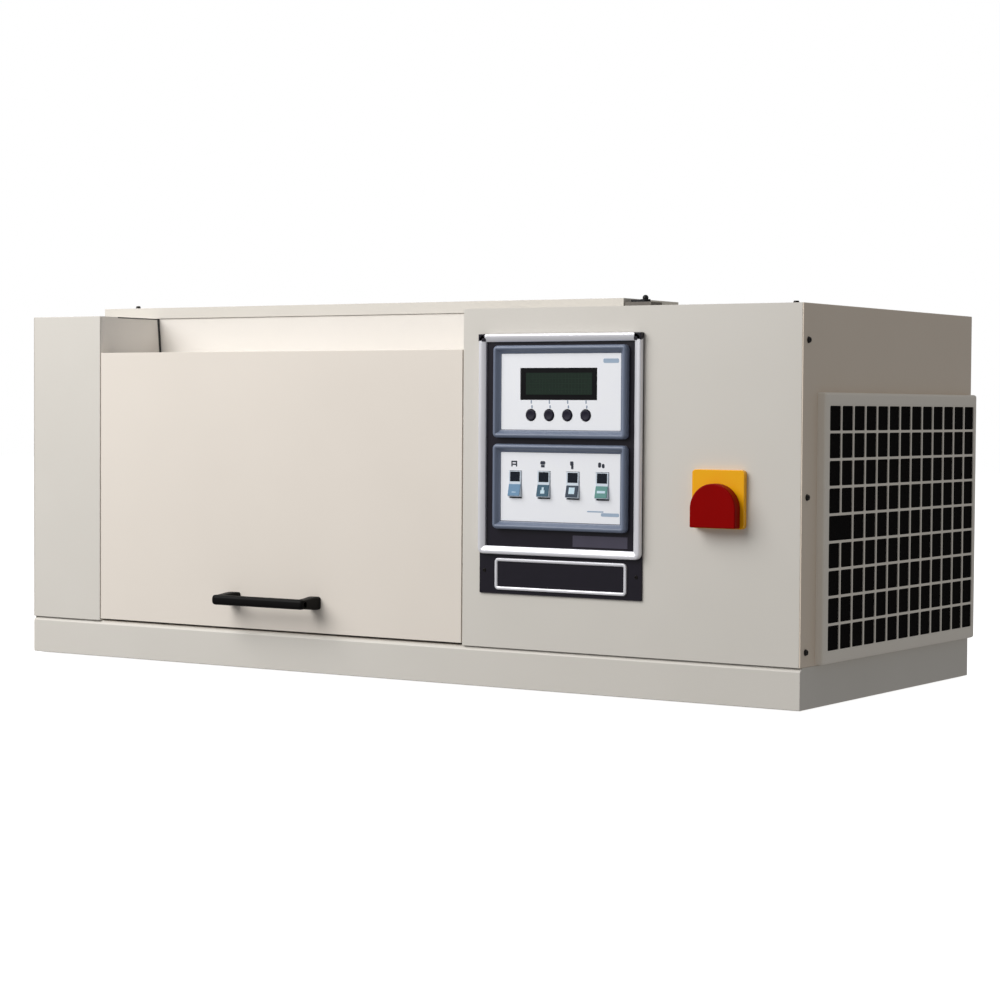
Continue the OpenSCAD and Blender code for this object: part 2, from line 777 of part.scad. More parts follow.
// Punched face with a folded rim; one bar is left out for the finger hole of the filter
module side_grille() {
    y0 = grille_front;
    y1 = body_d - grille_back;
    open_y0 = y0 + grille_frame;
    open_z0 = grille_z0 + grille_border;
    cell_y = (y1 - y0 - 2 * grille_frame + grille_bar) / grille_columns;
    cell_z = (grille_h - 2 * grille_border + grille_bar) / grille_rows;
    middle_row = floor(grille_rows / 2);
    color("#D8D3C6") from_corner() difference() {
        block([body_w, y0, grille_z0], [body_w + grille_t, y1, grille_z1]);
        block([body_w - 1, y0 + grille_rim_t, grille_z0 + grille_rim_t],
              [body_w + grille_t - grille_face_t, y1 - grille_rim_t, grille_z1 - grille_rim_t]);
        for (column = [0:grille_columns - 1], row = [0:grille_rows - 1])
            translate([body_w, open_y0 + column * cell_y, open_z0 + row * cell_z])
                cube([grille_t + 1, cell_y - grille_bar, cell_z - grille_bar]);
        translate([body_w, open_y0, open_z0 + middle_row * cell_z])
            cube([grille_t + 1, 2 * cell_y - grille_bar, cell_z - grille_bar]);
    }
}

// A coarse pad lies in the grille's tray and a fine one between the wall and the fan
module grille_filter_pad() {
    overlap = 4;
    slack = grille_rim_t + 0.5;
    color("#0B0B0D") from_corner() {
        block([body_w, grille_front + slack, grille_z0 + slack],
              [body_w + grille_t - grille_face_t, body_d - grille_back - slack, grille_z1 - slack]);
        block([fan_x1, grille_front + grille_frame - overlap, grille_z0 + grille_border - overlap],
              [body_w - sheet, body_d - grille_back - grille_frame + overlap,
               grille_z1 - grille_border + overlap]);
    }
}

screw_head_d = 7;
screw_head_t = 2.4;
screw_inset = 11;
screw_edge = 14;
screw_low = 15;
screw_high = 37;
panel_screw_inset = 6.5;
panel_screw_rise = 24.5;

// Pan-head screws that hold the side wall, the top, the black panel and the back
module cabinet_screws() {
    color("#2A2724") from_corner() {
        for (z = [base_h + screw_low, (base_h + body_h) / 2 - 12, body_h - screw_high])
            bar_x([body_w, screw_inset, z], screw_head_d, screw_head_t);
        bar_z([body_w - screw_edge, screw_inset, body_h], screw_head_d, screw_head_t);
        for (x = [panel_x0 + panel_screw_inset, panel_x1 - panel_screw_inset])
            bar_y([x, -panel_t - screw_head_t / 2, panel_z0 + panel_screw_rise],
                  screw_head_d * 0.6, screw_head_t / 2);
        for (x = [screw_edge, body_w / 2, body_w - screw_edge],
             z = [base_h + screw_low, body_h - screw_low - 5])
            bar_y([x, body_d, z], screw_head_d, screw_head_t);
    }
}

// ---- Control bay ---------------------------------------------------------------

// Ballast with a laminated core between two windings, and the igniter beside it
core_size = [96, 80, 70];
winding = [60, 16, 50];
igniter_size = [56, 92, 50];
igniter_gap = 14;
terminal_d = 12;
terminal_h = 22;

module lamp_control_gear() {
    core = [panel_x0 + 10, liner_y1 - core_size[1] - 30, base_h];
    side = (core_size[0] - winding[0]) / 2;
    igniter = core + [core_size[0] + igniter_gap, -10, 0];
    color("#3B3230") from_corner() {
        block(core, core + core_size);
        for (y = [-winding[1], core_size[1]])
            translate(core + [side, y, (core_size[2] - winding[2]) / 2]) cube(winding);
        block(igniter, igniter + igniter_size);
        for (x = [16, 40])
            bar_z(igniter + [x, 20, igniter_size[2]], terminal_d, terminal_h);
    }
}

// Mounting rail on the back wall with a contactor, three circuit breakers and terminals
rail = [230, 7.5, 35];
contactor = [45, 80, 74];
breaker = [17.5, 66, 84];
breakers = 3;
terminal = [7.5, 46, 50];
terminals = 10;
rail_rise = 190;

// A device that hangs on the front of the rail, centred on its height
module on_rail(x, size) {
    translate([door_x1 + 30 + x, body_d - sheet - rail[1] - size[1],
               base_h + rail_rise - size[2] / 2]) cube(size);
}

module switchgear() {
    color("#D9DCDD") {
        from_corner() translate([0, rail[1], 0]) on_rail(0, rail);
        from_corner() on_rail(4, contactor);
        from_corner() for (n = [0:breakers - 1]) on_rail(60 + n * (breaker[0] + 0.5), breaker);
        from_corner() for (n = [0:terminals - 1]) on_rail(130 + n * (terminal[0] + 0.5), terminal);
    }
}

module power_supply() {
    size = [98, 160, 38];
    at = [fan_x0 - size[0] - 8, liner_y1 - size[1] - 40, base_h];
    color("#B9BDC0") from_corner() translate(at) cube(size);
}

board_t = 1.6;

// Circuit board across the backs of both instruments
module control_board() {
    board_x0 = bezel_x0 + bezel_rim;
    board_x1 = bezel_x1 - bezel_rim;
    color("#1F5A36") from_corner() {
        block([board_x0, instrument_depth, lower_z0 + bezel_rim],
              [board_x1, instrument_depth + board_t, upper_z0 + upper_bezel_h - bezel_rim]);
        block([board_x0 + 20, instrument_depth + board_t, lower_z0 + 30],
              [board_x0 + 60, instrument_depth + board_t + 14, lower_z0 + 55]);
        block([board_x0 + 84, instrument_depth + board_t, lower_z0 + 80],
              [board_x0 + 110, instrument_depth + board_t + 6, lower_z0 + 106]);
    }
}

module isolator_switch() {
    half = isolator_body_side / 2;
    color("#33363B") from_corner() difference() {
        union() {
            block([isolator_x - half, sheet, isolator_z - half],
                  [isolator_x + half, sheet + isolator_body_depth, isolator_z + half]);
            bar_y([isolator_x, 0, isolator_z], isolator_bush_d, sheet + 1);
        }
        bar_y([isolator_x, -1, isolator_z],
              isolator_shaft_d + 2 * bearing_gap, sheet + isolator_body_depth * 0.6);
    }
}

module cable_gland() {
    color(black) from_corner() difference() {
        union() {
            bar_y([gland_x, body_d, gland_z], gland_nut_d, gland_out);
            bar_y([gland_x, body_d - sheet - gland_in, gland_z], gland_hole_d,
                  sheet + gland_in + 1);
            bar_y([gland_x, body_d - sheet - gland_in, gland_z], gland_nut_d, gland_in);
        }
        bar_y([gland_x, body_d - sheet - gland_in - 1, gland_z], gland_bore_d,
              gland_out + sheet + gland_in + 2);
    }
}

// ---- Control panel -------------------------------------------------------------

module control_panel_plate() {
    color(black) from_corner() difference() {
        front_plate([panel_x0, panel_z0], [panel_x1, panel_z1], -panel_t, 0, 1);
        instrument_opening(upper_z0, upper_bezel_h, fascia_seat);
        instrument_opening(lower_z0, lower_bezel_h, fascia_seat);
    }
}

frame_top_bar = frame_bar - 1;
frame_foot_r = 9;

module frame_corner_squares(front) {
    for (x = [panel_x0, panel_x1 - frame_bar])
        block([x, front, panel_z1 - frame_top_bar], [x + frame_bar, -panel_t, panel_z1]);
}

// Bright frame around both instruments, its lower corners round
module panel_frame() {
    front = -panel_t - frame_t;
    color(silver) from_corner() difference() {
        front_plate([panel_x0, frame_z0], [panel_x1, panel_z1], front, -panel_t, frame_foot_r);
        front_plate([panel_x0 + frame_bar, frame_z0 + frame_foot_bar],
                    [panel_x1 - frame_bar, panel_z1 - frame_top_bar],
                    front - 1, -panel_t + 1, frame_foot_r / 2);
        frame_corner_squares(front - 1);
    }
}

module frame_corners() {
    color(black) from_corner() frame_corner_squares(-panel_t - frame_t);
}

module bezel(z0, h) {
    front = -panel_t - bezel_t;
    difference() {
        front_plate([bezel_x0, z0], [bezel_x1, z0 + h], front, -panel_t, 5);
        front_plate([bezel_x0 + bezel_rim, z0 + bezel_rim],
                    [bezel_x1 - bezel_rim, z0 + h - bezel_rim], front - 1, -panel_t + 1, 1);
    }
}

module instrument_bezels() {
    color("#5A6478") from_corner() {
        bezel(upper_z0, upper_bezel_h);
        bezel(lower_z0, lower_bezel_h);
    }
}

module fascia_plate(z0, h) {
    front_plate([bezel_x0 + bezel_rim + fit_gap, z0 + bezel_rim + fit_gap],
                [bezel_x1 - bezel_rim - fit_gap, z0 + h - bezel_rim - fit_gap],
                -panel_t - fascia_t, -panel_t, 1);
}

fascia_mid = (bezel_x0 + bezel_x1) / 2;
display_mid = fascia_mid - 2.5;
key_x0 = display_mid - key_pitch * 1.5;
rocker_x0 = fascia_mid - rocker_pitch * 1.5 - 1.5;
rocker_slack = 1.1;

module rocker_openings(grow, front, back) {
    for (n = [0:3])
        block([rocker_x0 + n * rocker_pitch - rocker_w / 2 - running_gap - grow, front,
               rocker_z - rocker_h / 2 - rocker_slack - grow],
              [rocker_x0 + n * rocker_pitch + rocker_w / 2 + running_gap + grow, back,
               rocker_z + rocker_h / 2 + rocker_slack + grow]);
}

// Upper fascia with the display window and key holes, lower one with the rocker openings
module instrument_fascias() {
    front = -panel_t - fascia_t - 1;
    color("#F3F3FB") from_corner() {
        difference() {
            fascia_plate(upper_z0, upper_bezel_h);
            block([display_mid - display_w / 2, front, display_z - display_h / 2],
                  [display_mid + display_w / 2, 0, display_z + display_h / 2]);
            for (n = [0:3])
                bar_y([key_x0 + n * key_pitch, front, key_z], key_d + 2 * running_gap,
                      fascia_t + 2);
        }
        difference() {
            fascia_plate(lower_z0, lower_bezel_h);
            rocker_openings(0, front, 0);
        }
    }
}

display_glass_step = 0.8;
display_board_y = 8;

// Display behind the window, on its circuit board with the key contacts below it
module display_module() {
    half_w = display_w / 2 - fit_gap;
    half_h = display_h / 2 - fit_gap;
    color("#2A3A30") from_corner() {
        block([display_mid - half_w, -panel_t - fascia_t + display_glass_step,
               display_z - half_h],
              [display_mid + half_w, display_board_y, display_z + half_h]);
        block([display_mid - half_w - 5, display_board_y, key_z - 9],
              [display_mid + half_w + 5, display_board_y + board_t, display_z + half_h + 4]);
    }
}

key_proud = 1.2;
key_collar = 1;

module round_key(n) {
    x = key_x0 + n * key_pitch;
    front = -panel_t - fascia_t - key_proud;
    contact = display_board_y - key_travel - running_gap;
    color(black) from_corner() {
        bar_y([x, front, key_z], key_d, contact - front);
        bar_y([x, -panel_t + fit_gap, key_z], key_d + 2 * running_gap + 2 * key_collar, 1.5);
    }
}
module key_1() { round_key(0); }
module key_2() { round_key(1); }
module key_3() { round_key(2); }
module key_4() { round_key(3); }

socket_t = 1.2;
rocker_pin_d = 3;
rocker_axis_y = -panel_t + 2;

// Open boxes behind the lower fascia that carry the rockers' pins
module rocker_sockets() {
    color("#2B2D31") from_corner() difference() {
        rocker_openings(socket_t, -panel_t, instrument_depth);
        rocker_openings(0, -panel_t - 1, instrument_depth - socket_t);
        for (n = [0:3])
            bar_x([rocker_x0 + n * rocker_pitch - rocker_w, rocker_axis_y, rocker_z],
                  rocker_pin_d + 2 * bearing_gap, 2 * rocker_w);
    }
}

// Shallow V-faced rocker, drawn in its first position
module rocker(n) {
    x = rocker_x0 + n * rocker_pitch;
    half = rocker_h / 2;
    pin_reach = rocker_w / 2 + running_gap + socket_t - 0.2;
    color("#33506A") from_corner() translate([x, rocker_axis_y, rocker_z])
        rotate([-rocker_throw / 2, 0, 0]) {
            along_x(-rocker_w / 2, rocker_w / 2)
                polygon([[-6.5, -half], [-5.2, 0], [-6.5, half], [0, half], [5, half * 0.7],
                         [5, -half * 0.7], [0, -half]]);
            bar_x([-pin_reach, 0, 0], rocker_pin_d, 2 * pin_reach);
        }
}
module rocker_1() { rocker(0); }
module rocker_2() { rocker(1); }
module rocker_3() { rocker(2); }
module rocker_4() { rocker(3); }

// Bright rim of the blank nameplate under the instruments
module nameplate_rim() {
    x0 = fascia_mid - nameplate_w / 2;
    z0 = panel_z0 + nameplate_margin;
    color(silver) from_corner() difference() {
        front_plate([x0, z0], [x0 + nameplate_w, z0 + nameplate_h], -2 * panel_t, -panel_t, 5);
        front_plate([x0 + nameplate_edge, z0 + nameplate_edge],
                    [x0 + nameplate_w - nameplate_edge, z0 + nameplate_h - nameplate_edge],
                    -2 * panel_t - 1, -panel_t + 1, 2);
    }
}

module isolator_plate() {
    half = isolator_side / 2;
    color(yellow) from_corner() difference() {
        front_plate([isolator_x - half, isolator_z - half],
                    [isolator_x + half, isolator_z + half], -isolator_plate_t, 0, 4);
        bar_y([isolator_x, -isolator_plate_t - 1, isolator_z],
              isolator_shaft_d + 2 * bearing_gap, isolator_plate_t + 2);
    }
}

// Deep arched knob that fills the lower part of its plate, on the shaft that turns the switch
module isolator_knob() {
    r = isolator_knob_d / 2;
    foot = isolator_side / 2 - 1;
    back = -isolator_plate_t - fit_gap;
    color(red) from_corner() translate([isolator_x, 0, isolator_z]) {
        difference() {
            translate([0, back, 0]) rotate([90, 0, 0]) linear_extrude(isolator_knob_t) {
                translate([0, -isolator_knob_drop]) circle(r = r);
                translate([-r, -foot]) square([2 * r, foot - isolator_knob_drop]);
            }
            block([-2 * r, back - isolator_knob_t - 1, -3 * r], [2 * r, back + 1, -foot]);
        }
        bar_y([0, back - 1, 0], isolator_shaft_d, isolator_plate_t + isolator_body_depth / 2);
    }
}

// ---- Door ----------------------------------------------------------------------

hinge_relief = 4;
door_left = door_x0 + door_gap;
door_right = door_x1 - door_gap;

// Folded pan; its top back corner is cut away so that it can turn past the jamb
module door_shell() {
    color("#DDD3C8") from_corner() difference() {
        block([door_left, 0, door_foot], [door_right, door_t, door_top]);
        block([door_left + sheet, sheet, door_foot + sheet],
              [door_right - sheet, door_t + 1, door_top - sheet]);
        block([door_left - 1, door_t - hinge_relief, hinge_z - hinge_relief],
              [door_right + 1, door_t + 1, door_top + 1]);
        bar_x([door_left - 1, hinge_back, hinge_z],
              hinge_pin_d + 2 * bearing_gap, door_right - door_left + 2);
    }
}

// Inner pan that closes the back of the door
module door_inner_panel() {
    top = hinge_z - hinge_back - hinge_pin_d / 2;
    color("#C9C6BE") from_corner() difference() {
        block([door_left + sheet, sheet, door_foot + sheet],
              [door_right - sheet, door_t, top]);
        block([door_left + 2 * sheet, 0, door_foot + 2 * sheet],
              [door_right - 2 * sheet, door_t - sheet, top - sheet]);
    }
}

// Soft frame around the chamber's mouth
module door_seal() {
    seal_w = 10;
    over = 1;
    x0 = liner_x0 + liner_t - over;
    x1 = liner_x1 - liner_t + over;
    z0 = liner_z0 + liner_t - over;
    z1 = liner_z1 - liner_t + over;
    color(black) from_corner() difference() {
        block([x0 - seal_w, door_t, z0 - seal_w], [x1 + seal_w, door_t + gasket_t, z1 + seal_w]);
        block([x0, door_t - 1, z0], [x1, door_t + gasket_t + 1, z1]);
    }
}

// Bow handle: two deep feet and a slimmer bar
module door_handle() {
    x0 = door_mid + 4 - handle_w / 2;
    x1 = x0 + handle_w;
    foot_w = 16;
    color(black) from_corner() {
        for (x = [x0, x1 - foot_w])
            block([x, -handle_reach, handle_z - handle_foot_h / 2],
                  [x + foot_w, 0, handle_z + handle_foot_h / 2]);
        block([x0 + foot_w, -handle_reach, handle_z - handle_bar_h / 2],
              [x1 - foot_w, -handle_reach + handle_bar_t, handle_z + handle_bar_h / 2]);
    }
}

module door_hinge_pins() {
    inner_reach = 10;
    length = boss_t + sheet + door_gap + sheet + inner_reach;
    color(silver) from_corner() {
        bar_x([door_x0 - sheet - boss_t, hinge_back, hinge_z], hinge_pin_d, length);
        bar_x([door_x1 + sheet + boss_t - length, hinge_back, hinge_z], hinge_pin_d, length);
    }
}

// ---- Lamp cover ----------------------------------------------------------------

hinge_len = 40;
lug_len = 8;
lug_gap = 0.5;
knuckle_d = 7;
hinge_inset = 100;
hinge_places = [cover_left + hinge_inset, cover_x1 - hinge_inset - hinge_len];

module lamp_cover() {
    color("#E6E0D5") from_corner() {
        difference() {
            block([cover_left, cover_y0, body_h + fit_gap], [cover_x1, cover_y1, cover_top]);
            block([cover_left + sheet, cover_y0 + sheet, body_h],
                  [cover_x1 - sheet, cover_y1 - sheet, cover_top - sheet]);
        }
        for (x = hinge_places)
            difference() {
                union() {
                    bar_x([x, cover_axis_y, cover_axis_z], knuckle_d, hinge_len);
                    block([x, cover_y1 - sheet, cover_axis_z + 0.5],
                          [x + hinge_len, cover_axis_y, cover_axis_z + knuckle_d / 2]);
                }
                bar_x([x - 1, cover_axis_y, cover_axis_z],
                      cover_pin_d + 2 * bearing_gap, hinge_len + 2);
            }
    }
}

// Two lugs and a pin for each of the cover's knuckles
module cover_hinges() {
    color(silver) from_corner()
        for (x = hinge_places) {
            for (at = [x - lug_gap - lug_len, x + hinge_len + lug_gap]) {
                bar_x([at, cover_axis_y, cover_axis_z], knuckle_d, lug_len);
                block([at, cover_axis_y - knuckle_d / 2, body_h],
                      [at + lug_len, cover_axis_y + knuckle_d / 2, cover_axis_z]);
            }
            bar_x([x - lug_gap - 1, cover_axis_y, cover_axis_z], cover_pin_d,
                  hinge_len + 2 * lug_gap + 2);
        }
}

latch_x = cover_x1 + 20;
latch_y = cover_y0 + 13;
latch_pin_d = 5;
latch_block_h = 9;

module cover_latch_block() {
    color("#8A857B") from_corner() difference() {
        block([cover_x1 + fit_gap, latch_y - 12, body_h],
              [latch_x + 14, latch_y + 12, body_h + latch_block_h]);
        bar_z([latch_x, latch_y, body_h + 1], latch_pin_d + 2 * bearing_gap, latch_block_h);
    }
}

// Small turn knob with a tongue, on a pin in its block
module cover_latch() {
    tongue_z = body_h + latch_block_h + fit_gap;
    color(black) from_corner() {
        bar_z([latch_x, latch_y, body_h + 1.5], latch_pin_d, latch_block_h);
        bar_z([latch_x, latch_y, tongue_z], 11, 3);
        block([latch_x - 16, latch_y - 4, tongue_z], [latch_x, latch_y + 4, tongue_z + 2.5]);
        translate([latch_x, latch_y, tongue_z + 4.5]) sphere(d = 6.5);
    }
}

// ---- Assembly ------------------------------------------------------------------
base_plinth();
rubber_feet();
left_side_panel();
right_side_panel();
rear_panel();
front_left_panel();
front_right_panel();
top_panel();
top_recess();
chamber_front_frame();
chamber_liner();
bay_partition();
side_grille();
grille_filter_pad();
cabinet_screws();
filter_glass();
lamp_reflector();
xenon_lamp();
lamp_holders();
tray_runners();
chamber_sensors();
blower_housing();
blower_motor();
fan_frame();
lamp_control_gear();
switchgear();
power_supply();
control_board();
control_panel_plate();
panel_frame();
frame_corners();
instrument_bezels();
instrument_fascias();
display_module();
rocker_sockets();
nameplate_rim();
isolator_plate();
isolator_switch();
cable_gland();
cover_hinges();
cover_latch_block();
door_shell();
door_inner_panel();
door_seal();
door_handle();
door_hinge_pins();
lamp_cover();
cover_latch();
isolator_knob();
key_1();
key_2();
key_3();
key_4();
rocker_1();
rocker_2();
rocker_3();
rocker_4();
specimen_tray();
blower_wheel();
fan_rotor();
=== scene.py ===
# %% [markdown]
# # A bench-top light exposure chamber
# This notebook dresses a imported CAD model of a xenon-lamp test cabinet. The sheet
# metal, the moulded parts and every moving body already sit where they belong, so
# each cell only asks the CAD for a box, makes a finer piece there, and gives it a
# finish. Lengths are metres: +X right, +Y back, +Z up.

# %% Load the CAD frame
import json
import math

import bmesh
import bpy
from mathutils import Matrix, Vector


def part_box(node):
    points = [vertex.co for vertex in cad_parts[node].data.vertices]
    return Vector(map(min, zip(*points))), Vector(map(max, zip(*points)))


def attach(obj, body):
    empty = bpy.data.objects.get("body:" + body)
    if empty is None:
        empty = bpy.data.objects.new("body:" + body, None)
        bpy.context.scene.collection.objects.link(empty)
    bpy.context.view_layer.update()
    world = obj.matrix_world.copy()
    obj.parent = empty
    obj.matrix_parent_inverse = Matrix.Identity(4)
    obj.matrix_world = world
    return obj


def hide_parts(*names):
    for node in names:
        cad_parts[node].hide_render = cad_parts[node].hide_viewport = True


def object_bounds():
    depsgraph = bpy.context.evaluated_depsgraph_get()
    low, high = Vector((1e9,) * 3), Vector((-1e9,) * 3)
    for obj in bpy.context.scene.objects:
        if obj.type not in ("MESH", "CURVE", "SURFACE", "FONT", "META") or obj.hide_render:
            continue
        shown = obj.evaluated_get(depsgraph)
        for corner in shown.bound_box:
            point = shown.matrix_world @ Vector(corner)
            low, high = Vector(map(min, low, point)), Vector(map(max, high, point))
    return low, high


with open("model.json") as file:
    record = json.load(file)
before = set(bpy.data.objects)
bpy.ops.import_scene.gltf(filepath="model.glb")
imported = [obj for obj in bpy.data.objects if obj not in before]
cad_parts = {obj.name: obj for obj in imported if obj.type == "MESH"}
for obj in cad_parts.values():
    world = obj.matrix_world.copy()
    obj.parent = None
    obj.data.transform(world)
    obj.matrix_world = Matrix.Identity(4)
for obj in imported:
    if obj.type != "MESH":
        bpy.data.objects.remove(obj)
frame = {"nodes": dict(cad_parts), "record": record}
cad_box = [list(corner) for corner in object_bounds()]
MM = 0.001
print("CAD box, mm:", [[round(v / MM, 1) for v in corner] for corner in cad_box])

# %% [markdown]
# ## Colour
# Paint makers and designers write colours as sRGB hex. Blender's shaders work in
# linear light, so one function converts, and every colour below goes through it.

# %% Hex to linear
def linear(hex_colour):
    """Linear RGBA from an sRGB hex string."""
    parts = [int(hex_colour[n:n + 2], 16) / 255 for n in (1, 3, 5)]
    return [c / 12.92 if c <= 0.04045 else ((c + 0.055) / 1.055) ** 2.4 for c in parts] + [1.0]

print("door paint in linear light:", [round(c, 3) for c in linear("#DDD3C8")])

# %% [markdown]
# ## One helper for shader and geometry nodes
# A node is made with its settings, and each input gets either a number or the
# output of another node. Every tree in this notebook is built with it.

# %% Add a node
def add(tree, kind, settings=(), **inputs):
    """A new node. Input names use _ for a space; a leading n takes the input by number."""
    node = tree.nodes.new(kind)
    for name, value in dict(settings).items():
        setattr(node, name, value)
    for name, value in inputs.items():
        key = int(name[1:]) if name[1:].isdigit() else name.replace("_", " ")
        if isinstance(value, bpy.types.NodeSocket):
            tree.links.new(value, node.inputs[key])
        else:
            node.inputs[key].default_value = value
    return node


def surface(name, base, **shader):
    """A material with one Principled shader, and what later nodes need from it."""
    material = bpy.data.materials.new(name)
    material.use_nodes = True
    tree = material.node_tree
    tree.nodes.clear()
    place = add(tree, "ShaderNodeTexCoord").outputs["Object"]
    body = add(tree, "ShaderNodeBsdfPrincipled", Base_Color=linear(base), **shader)
    add(tree, "ShaderNodeOutputMaterial", Surface=body.outputs["BSDF"])
    return material, tree, place, body


def mottle(tree, place, size, detail=2.0, stretch=(1, 1, 1)):
    """Soft patches about `size` metres across, longer along an axis stretched under 1."""
    turned = add(tree, "ShaderNodeMapping", Vector=place, Scale=stretch).outputs["Vector"]
    return add(tree, "ShaderNodeTexNoise", Vector=turned, Scale=1 / size,
               Detail=detail).outputs["Fac"]

print("helpers ready: add, surface, mottle")

# %% [markdown]
# ## Three layers of a real skin
# A painted, cast or moulded skin is never one flat colour. Its tint drifts, its
# gloss is uneven, and a fine relief breaks up what it mirrors. One function builds
# the three layers, and each family of finishes below gives it real sizes.

# %% Tint, gloss and relief
def skin(name, colour, shade, drift, gloss, relief, **shader):
    """A material from its tint (patch, detail), its roughness (patch, detail, least, most)
    and its relief (grain, detail, strength, depth)."""
    material, tree, place, body = surface(name, colour, **shader)
    tint = add(tree, "ShaderNodeMix", {"data_type": "RGBA"}, Factor=mottle(tree, place, *drift),
               A=linear(colour), B=linear(shade))
    patch, detail, least, most = gloss
    uneven = add(tree, "ShaderNodeMapRange", Value=mottle(tree, place, patch, detail),
                 To_Min=least, To_Max=most)
    grain, detail, strength, depth = relief
    bump = add(tree, "ShaderNodeBump", Strength=strength, Distance=depth,
               Height=mottle(tree, place, grain, detail))
    for made, socket in ((tint.outputs["Result"], "Base Color"),
                         (uneven.outputs["Result"], "Roughness"),
                         (bump.outputs["Normal"], "Normal")):
        tree.links.new(made, body.inputs[socket])
    return material

print("three layers: tint, gloss and relief")

# %% [markdown]
# ## Powder-coated sheet steel
# The cabinet is folded steel with a baked polyester powder coat. Powder melts into
# a skin with a fine orange-peel ripple, about 1.5 mm from crest to crest, and a
# satin gloss. Slow noise over the panel varies the tint by a few percent, as coat
# thickness does, and a finer one lifts the roughness where hands and cloths go.

# %% Powder coat
def powder_coat(name, colour, deeper, gloss=0.42):
    """Satin polyester powder on steel: slow tint drift, uneven gloss, orange peel."""
    return skin(name, colour, deeper, (160 * MM, 3.0),
                (45 * MM, 4.0, gloss - 0.06, gloss + 0.08),
                (1.5 * MM, 1.0, 0.10, 0.08 * MM), IOR=1.5)

cabinet_coat = powder_coat("powder_coat_stone", "#E0DBD3", "#D8D3CA")
door_coat = powder_coat("powder_coat_door", "#EFE6DB", "#E8DFD4")
recess_coat = powder_coat("powder_coat_cream", "#EBE6E0", "#E7E2DB")
# A lighter, whiter copy of the paint: painted light on the grille, whose face turns away from
# the key light.
grille_coat_painted_light = powder_coat("powder_coat_grille_painted_light", "#F6EFE4", "#EFE7DB", 0.36)
# A lighter, warmer copy of the cabinet paint: painted warm light on the shaded right side.
side_coat_painted_light = powder_coat("powder_coat_side_painted_light", "#ECDECD", "#E6D7C5")
cover_coat = powder_coat("powder_coat_cover", "#DAD5CD", "#D4CFC6")
print("coats:", cabinet_coat.name, door_coat.name, recess_coat.name, grille_coat_painted_light.name)

# %% [markdown]
# ## Metals
# Bright parts keep the default IOR and differ in colour, roughness and lay.
# Rolled and brushed sheet has scratches 0.3 mm apart that run a long way, so the
# noise is squeezed across the grain and stretched along it. Zinc plating has no
# lay but a patchy roughness, and castings are blasted, so they have an even grit.

# %% Bright and dark metals
def brushed(name, colour, rough, along, pitch=0.3 * MM, strength=0.12, metallic=1.0):
    """Brushed sheet; `along` is the axis number of the scratches."""
    material, tree, place, body = surface(name, colour, Metallic=metallic)
    stretch = [1.0, 1.0, 1.0]
    stretch[along] = 0.012
    grain = mottle(tree, place, pitch, 2.0, stretch)
    cloud = mottle(tree, place, 50 * MM, 3.0)
    both = add(tree, "ShaderNodeMath", {"operation": "MULTIPLY"}, n0=grain, n1=cloud)
    uneven = add(tree, "ShaderNodeMapRange", Value=both.outputs[0], To_Min=rough - 0.05,
                 To_Max=rough + 0.20)
    bump = add(tree, "ShaderNodeBump", Strength=strength, Distance=0.02 * MM, Height=grain)
    tree.links.new(uneven.outputs["Result"], body.inputs["Roughness"])
    tree.links.new(bump.outputs["Normal"], body.inputs["Normal"])
    return material


def cast_or_plated(name, colour, darker, rough, grit, metallic=1.0, strength=0.2):
    """Metal without a lay: patches of tone and gloss 12 mm across, and an even grit."""
    patch = (12 * MM, 4.0)
    return skin(name, colour, darker, patch, (*patch, rough - 0.06, rough + 0.10),
                (grit, 2.0, strength, 0.05 * MM), Metallic=metallic)

anodised = brushed("clear_anodised_aluminium", "#F2F1F6", 0.30, 2, 0.25 * MM, 0.02, 0.4)
stainless = brushed("brushed_stainless", "#C9CCCE", 0.26, 0)
polished = brushed("polished_reflector", "#E9ECEF", 0.08, 0, 0.4 * MM, 0.03)
zinc = cast_or_plated("zinc_plated_steel", "#C4C6C8", "#AEB0B0", 0.30, 0.4 * MM)
black_oxide = cast_or_plated("black_oxide_steel", "#2B2724", "#1C1917", 0.38, 0.3 * MM, 0.6)
cast_aluminium = cast_or_plated("cast_aluminium", "#8A8F95", "#74797F", 0.48, 0.6 * MM)
lamination = cast_or_plated("varnished_laminations", "#3B3230", "#2A2220", 0.35, 0.5 * MM, 0.3)
enamelled = cast_or_plated("grey_enamel_steel", "#4B4F55", "#3F4349", 0.40, 1.2 * MM, 0.0, 0.08)
print("metals:", anodised.name, stainless.name, zinc.name, cast_aluminium.name)

# %% [markdown]
# ## Mouldings, rubber and film
# ABS, nylon and rubber differ in how they leave the mould: a gloss tool gives a
# smooth skin with faint sink, a spark-eroded tool gives a grain of about 0.5 mm,
# and rubber is duller and softer to light. The instrument overlays are a printed
# polyester film with a very fine matt grain.

# %% Plastics
def moulded(name, colour, shade, rough, grain, strength, coat=0.0, specular=0.5, sheen=0.0):
    """A moulding: faint colour drift, tool grain, and gloss that wears unevenly."""
    return skin(name, colour, shade, (20 * MM, 3.0), (6 * MM, 3.0, rough - 0.02, rough + 0.04),
                (grain, 1.0, strength, 0.04 * MM), Specular_IOR_Level=specular,
                Coat_Weight=coat, Coat_Roughness=0.12, Sheen_Weight=sheen)

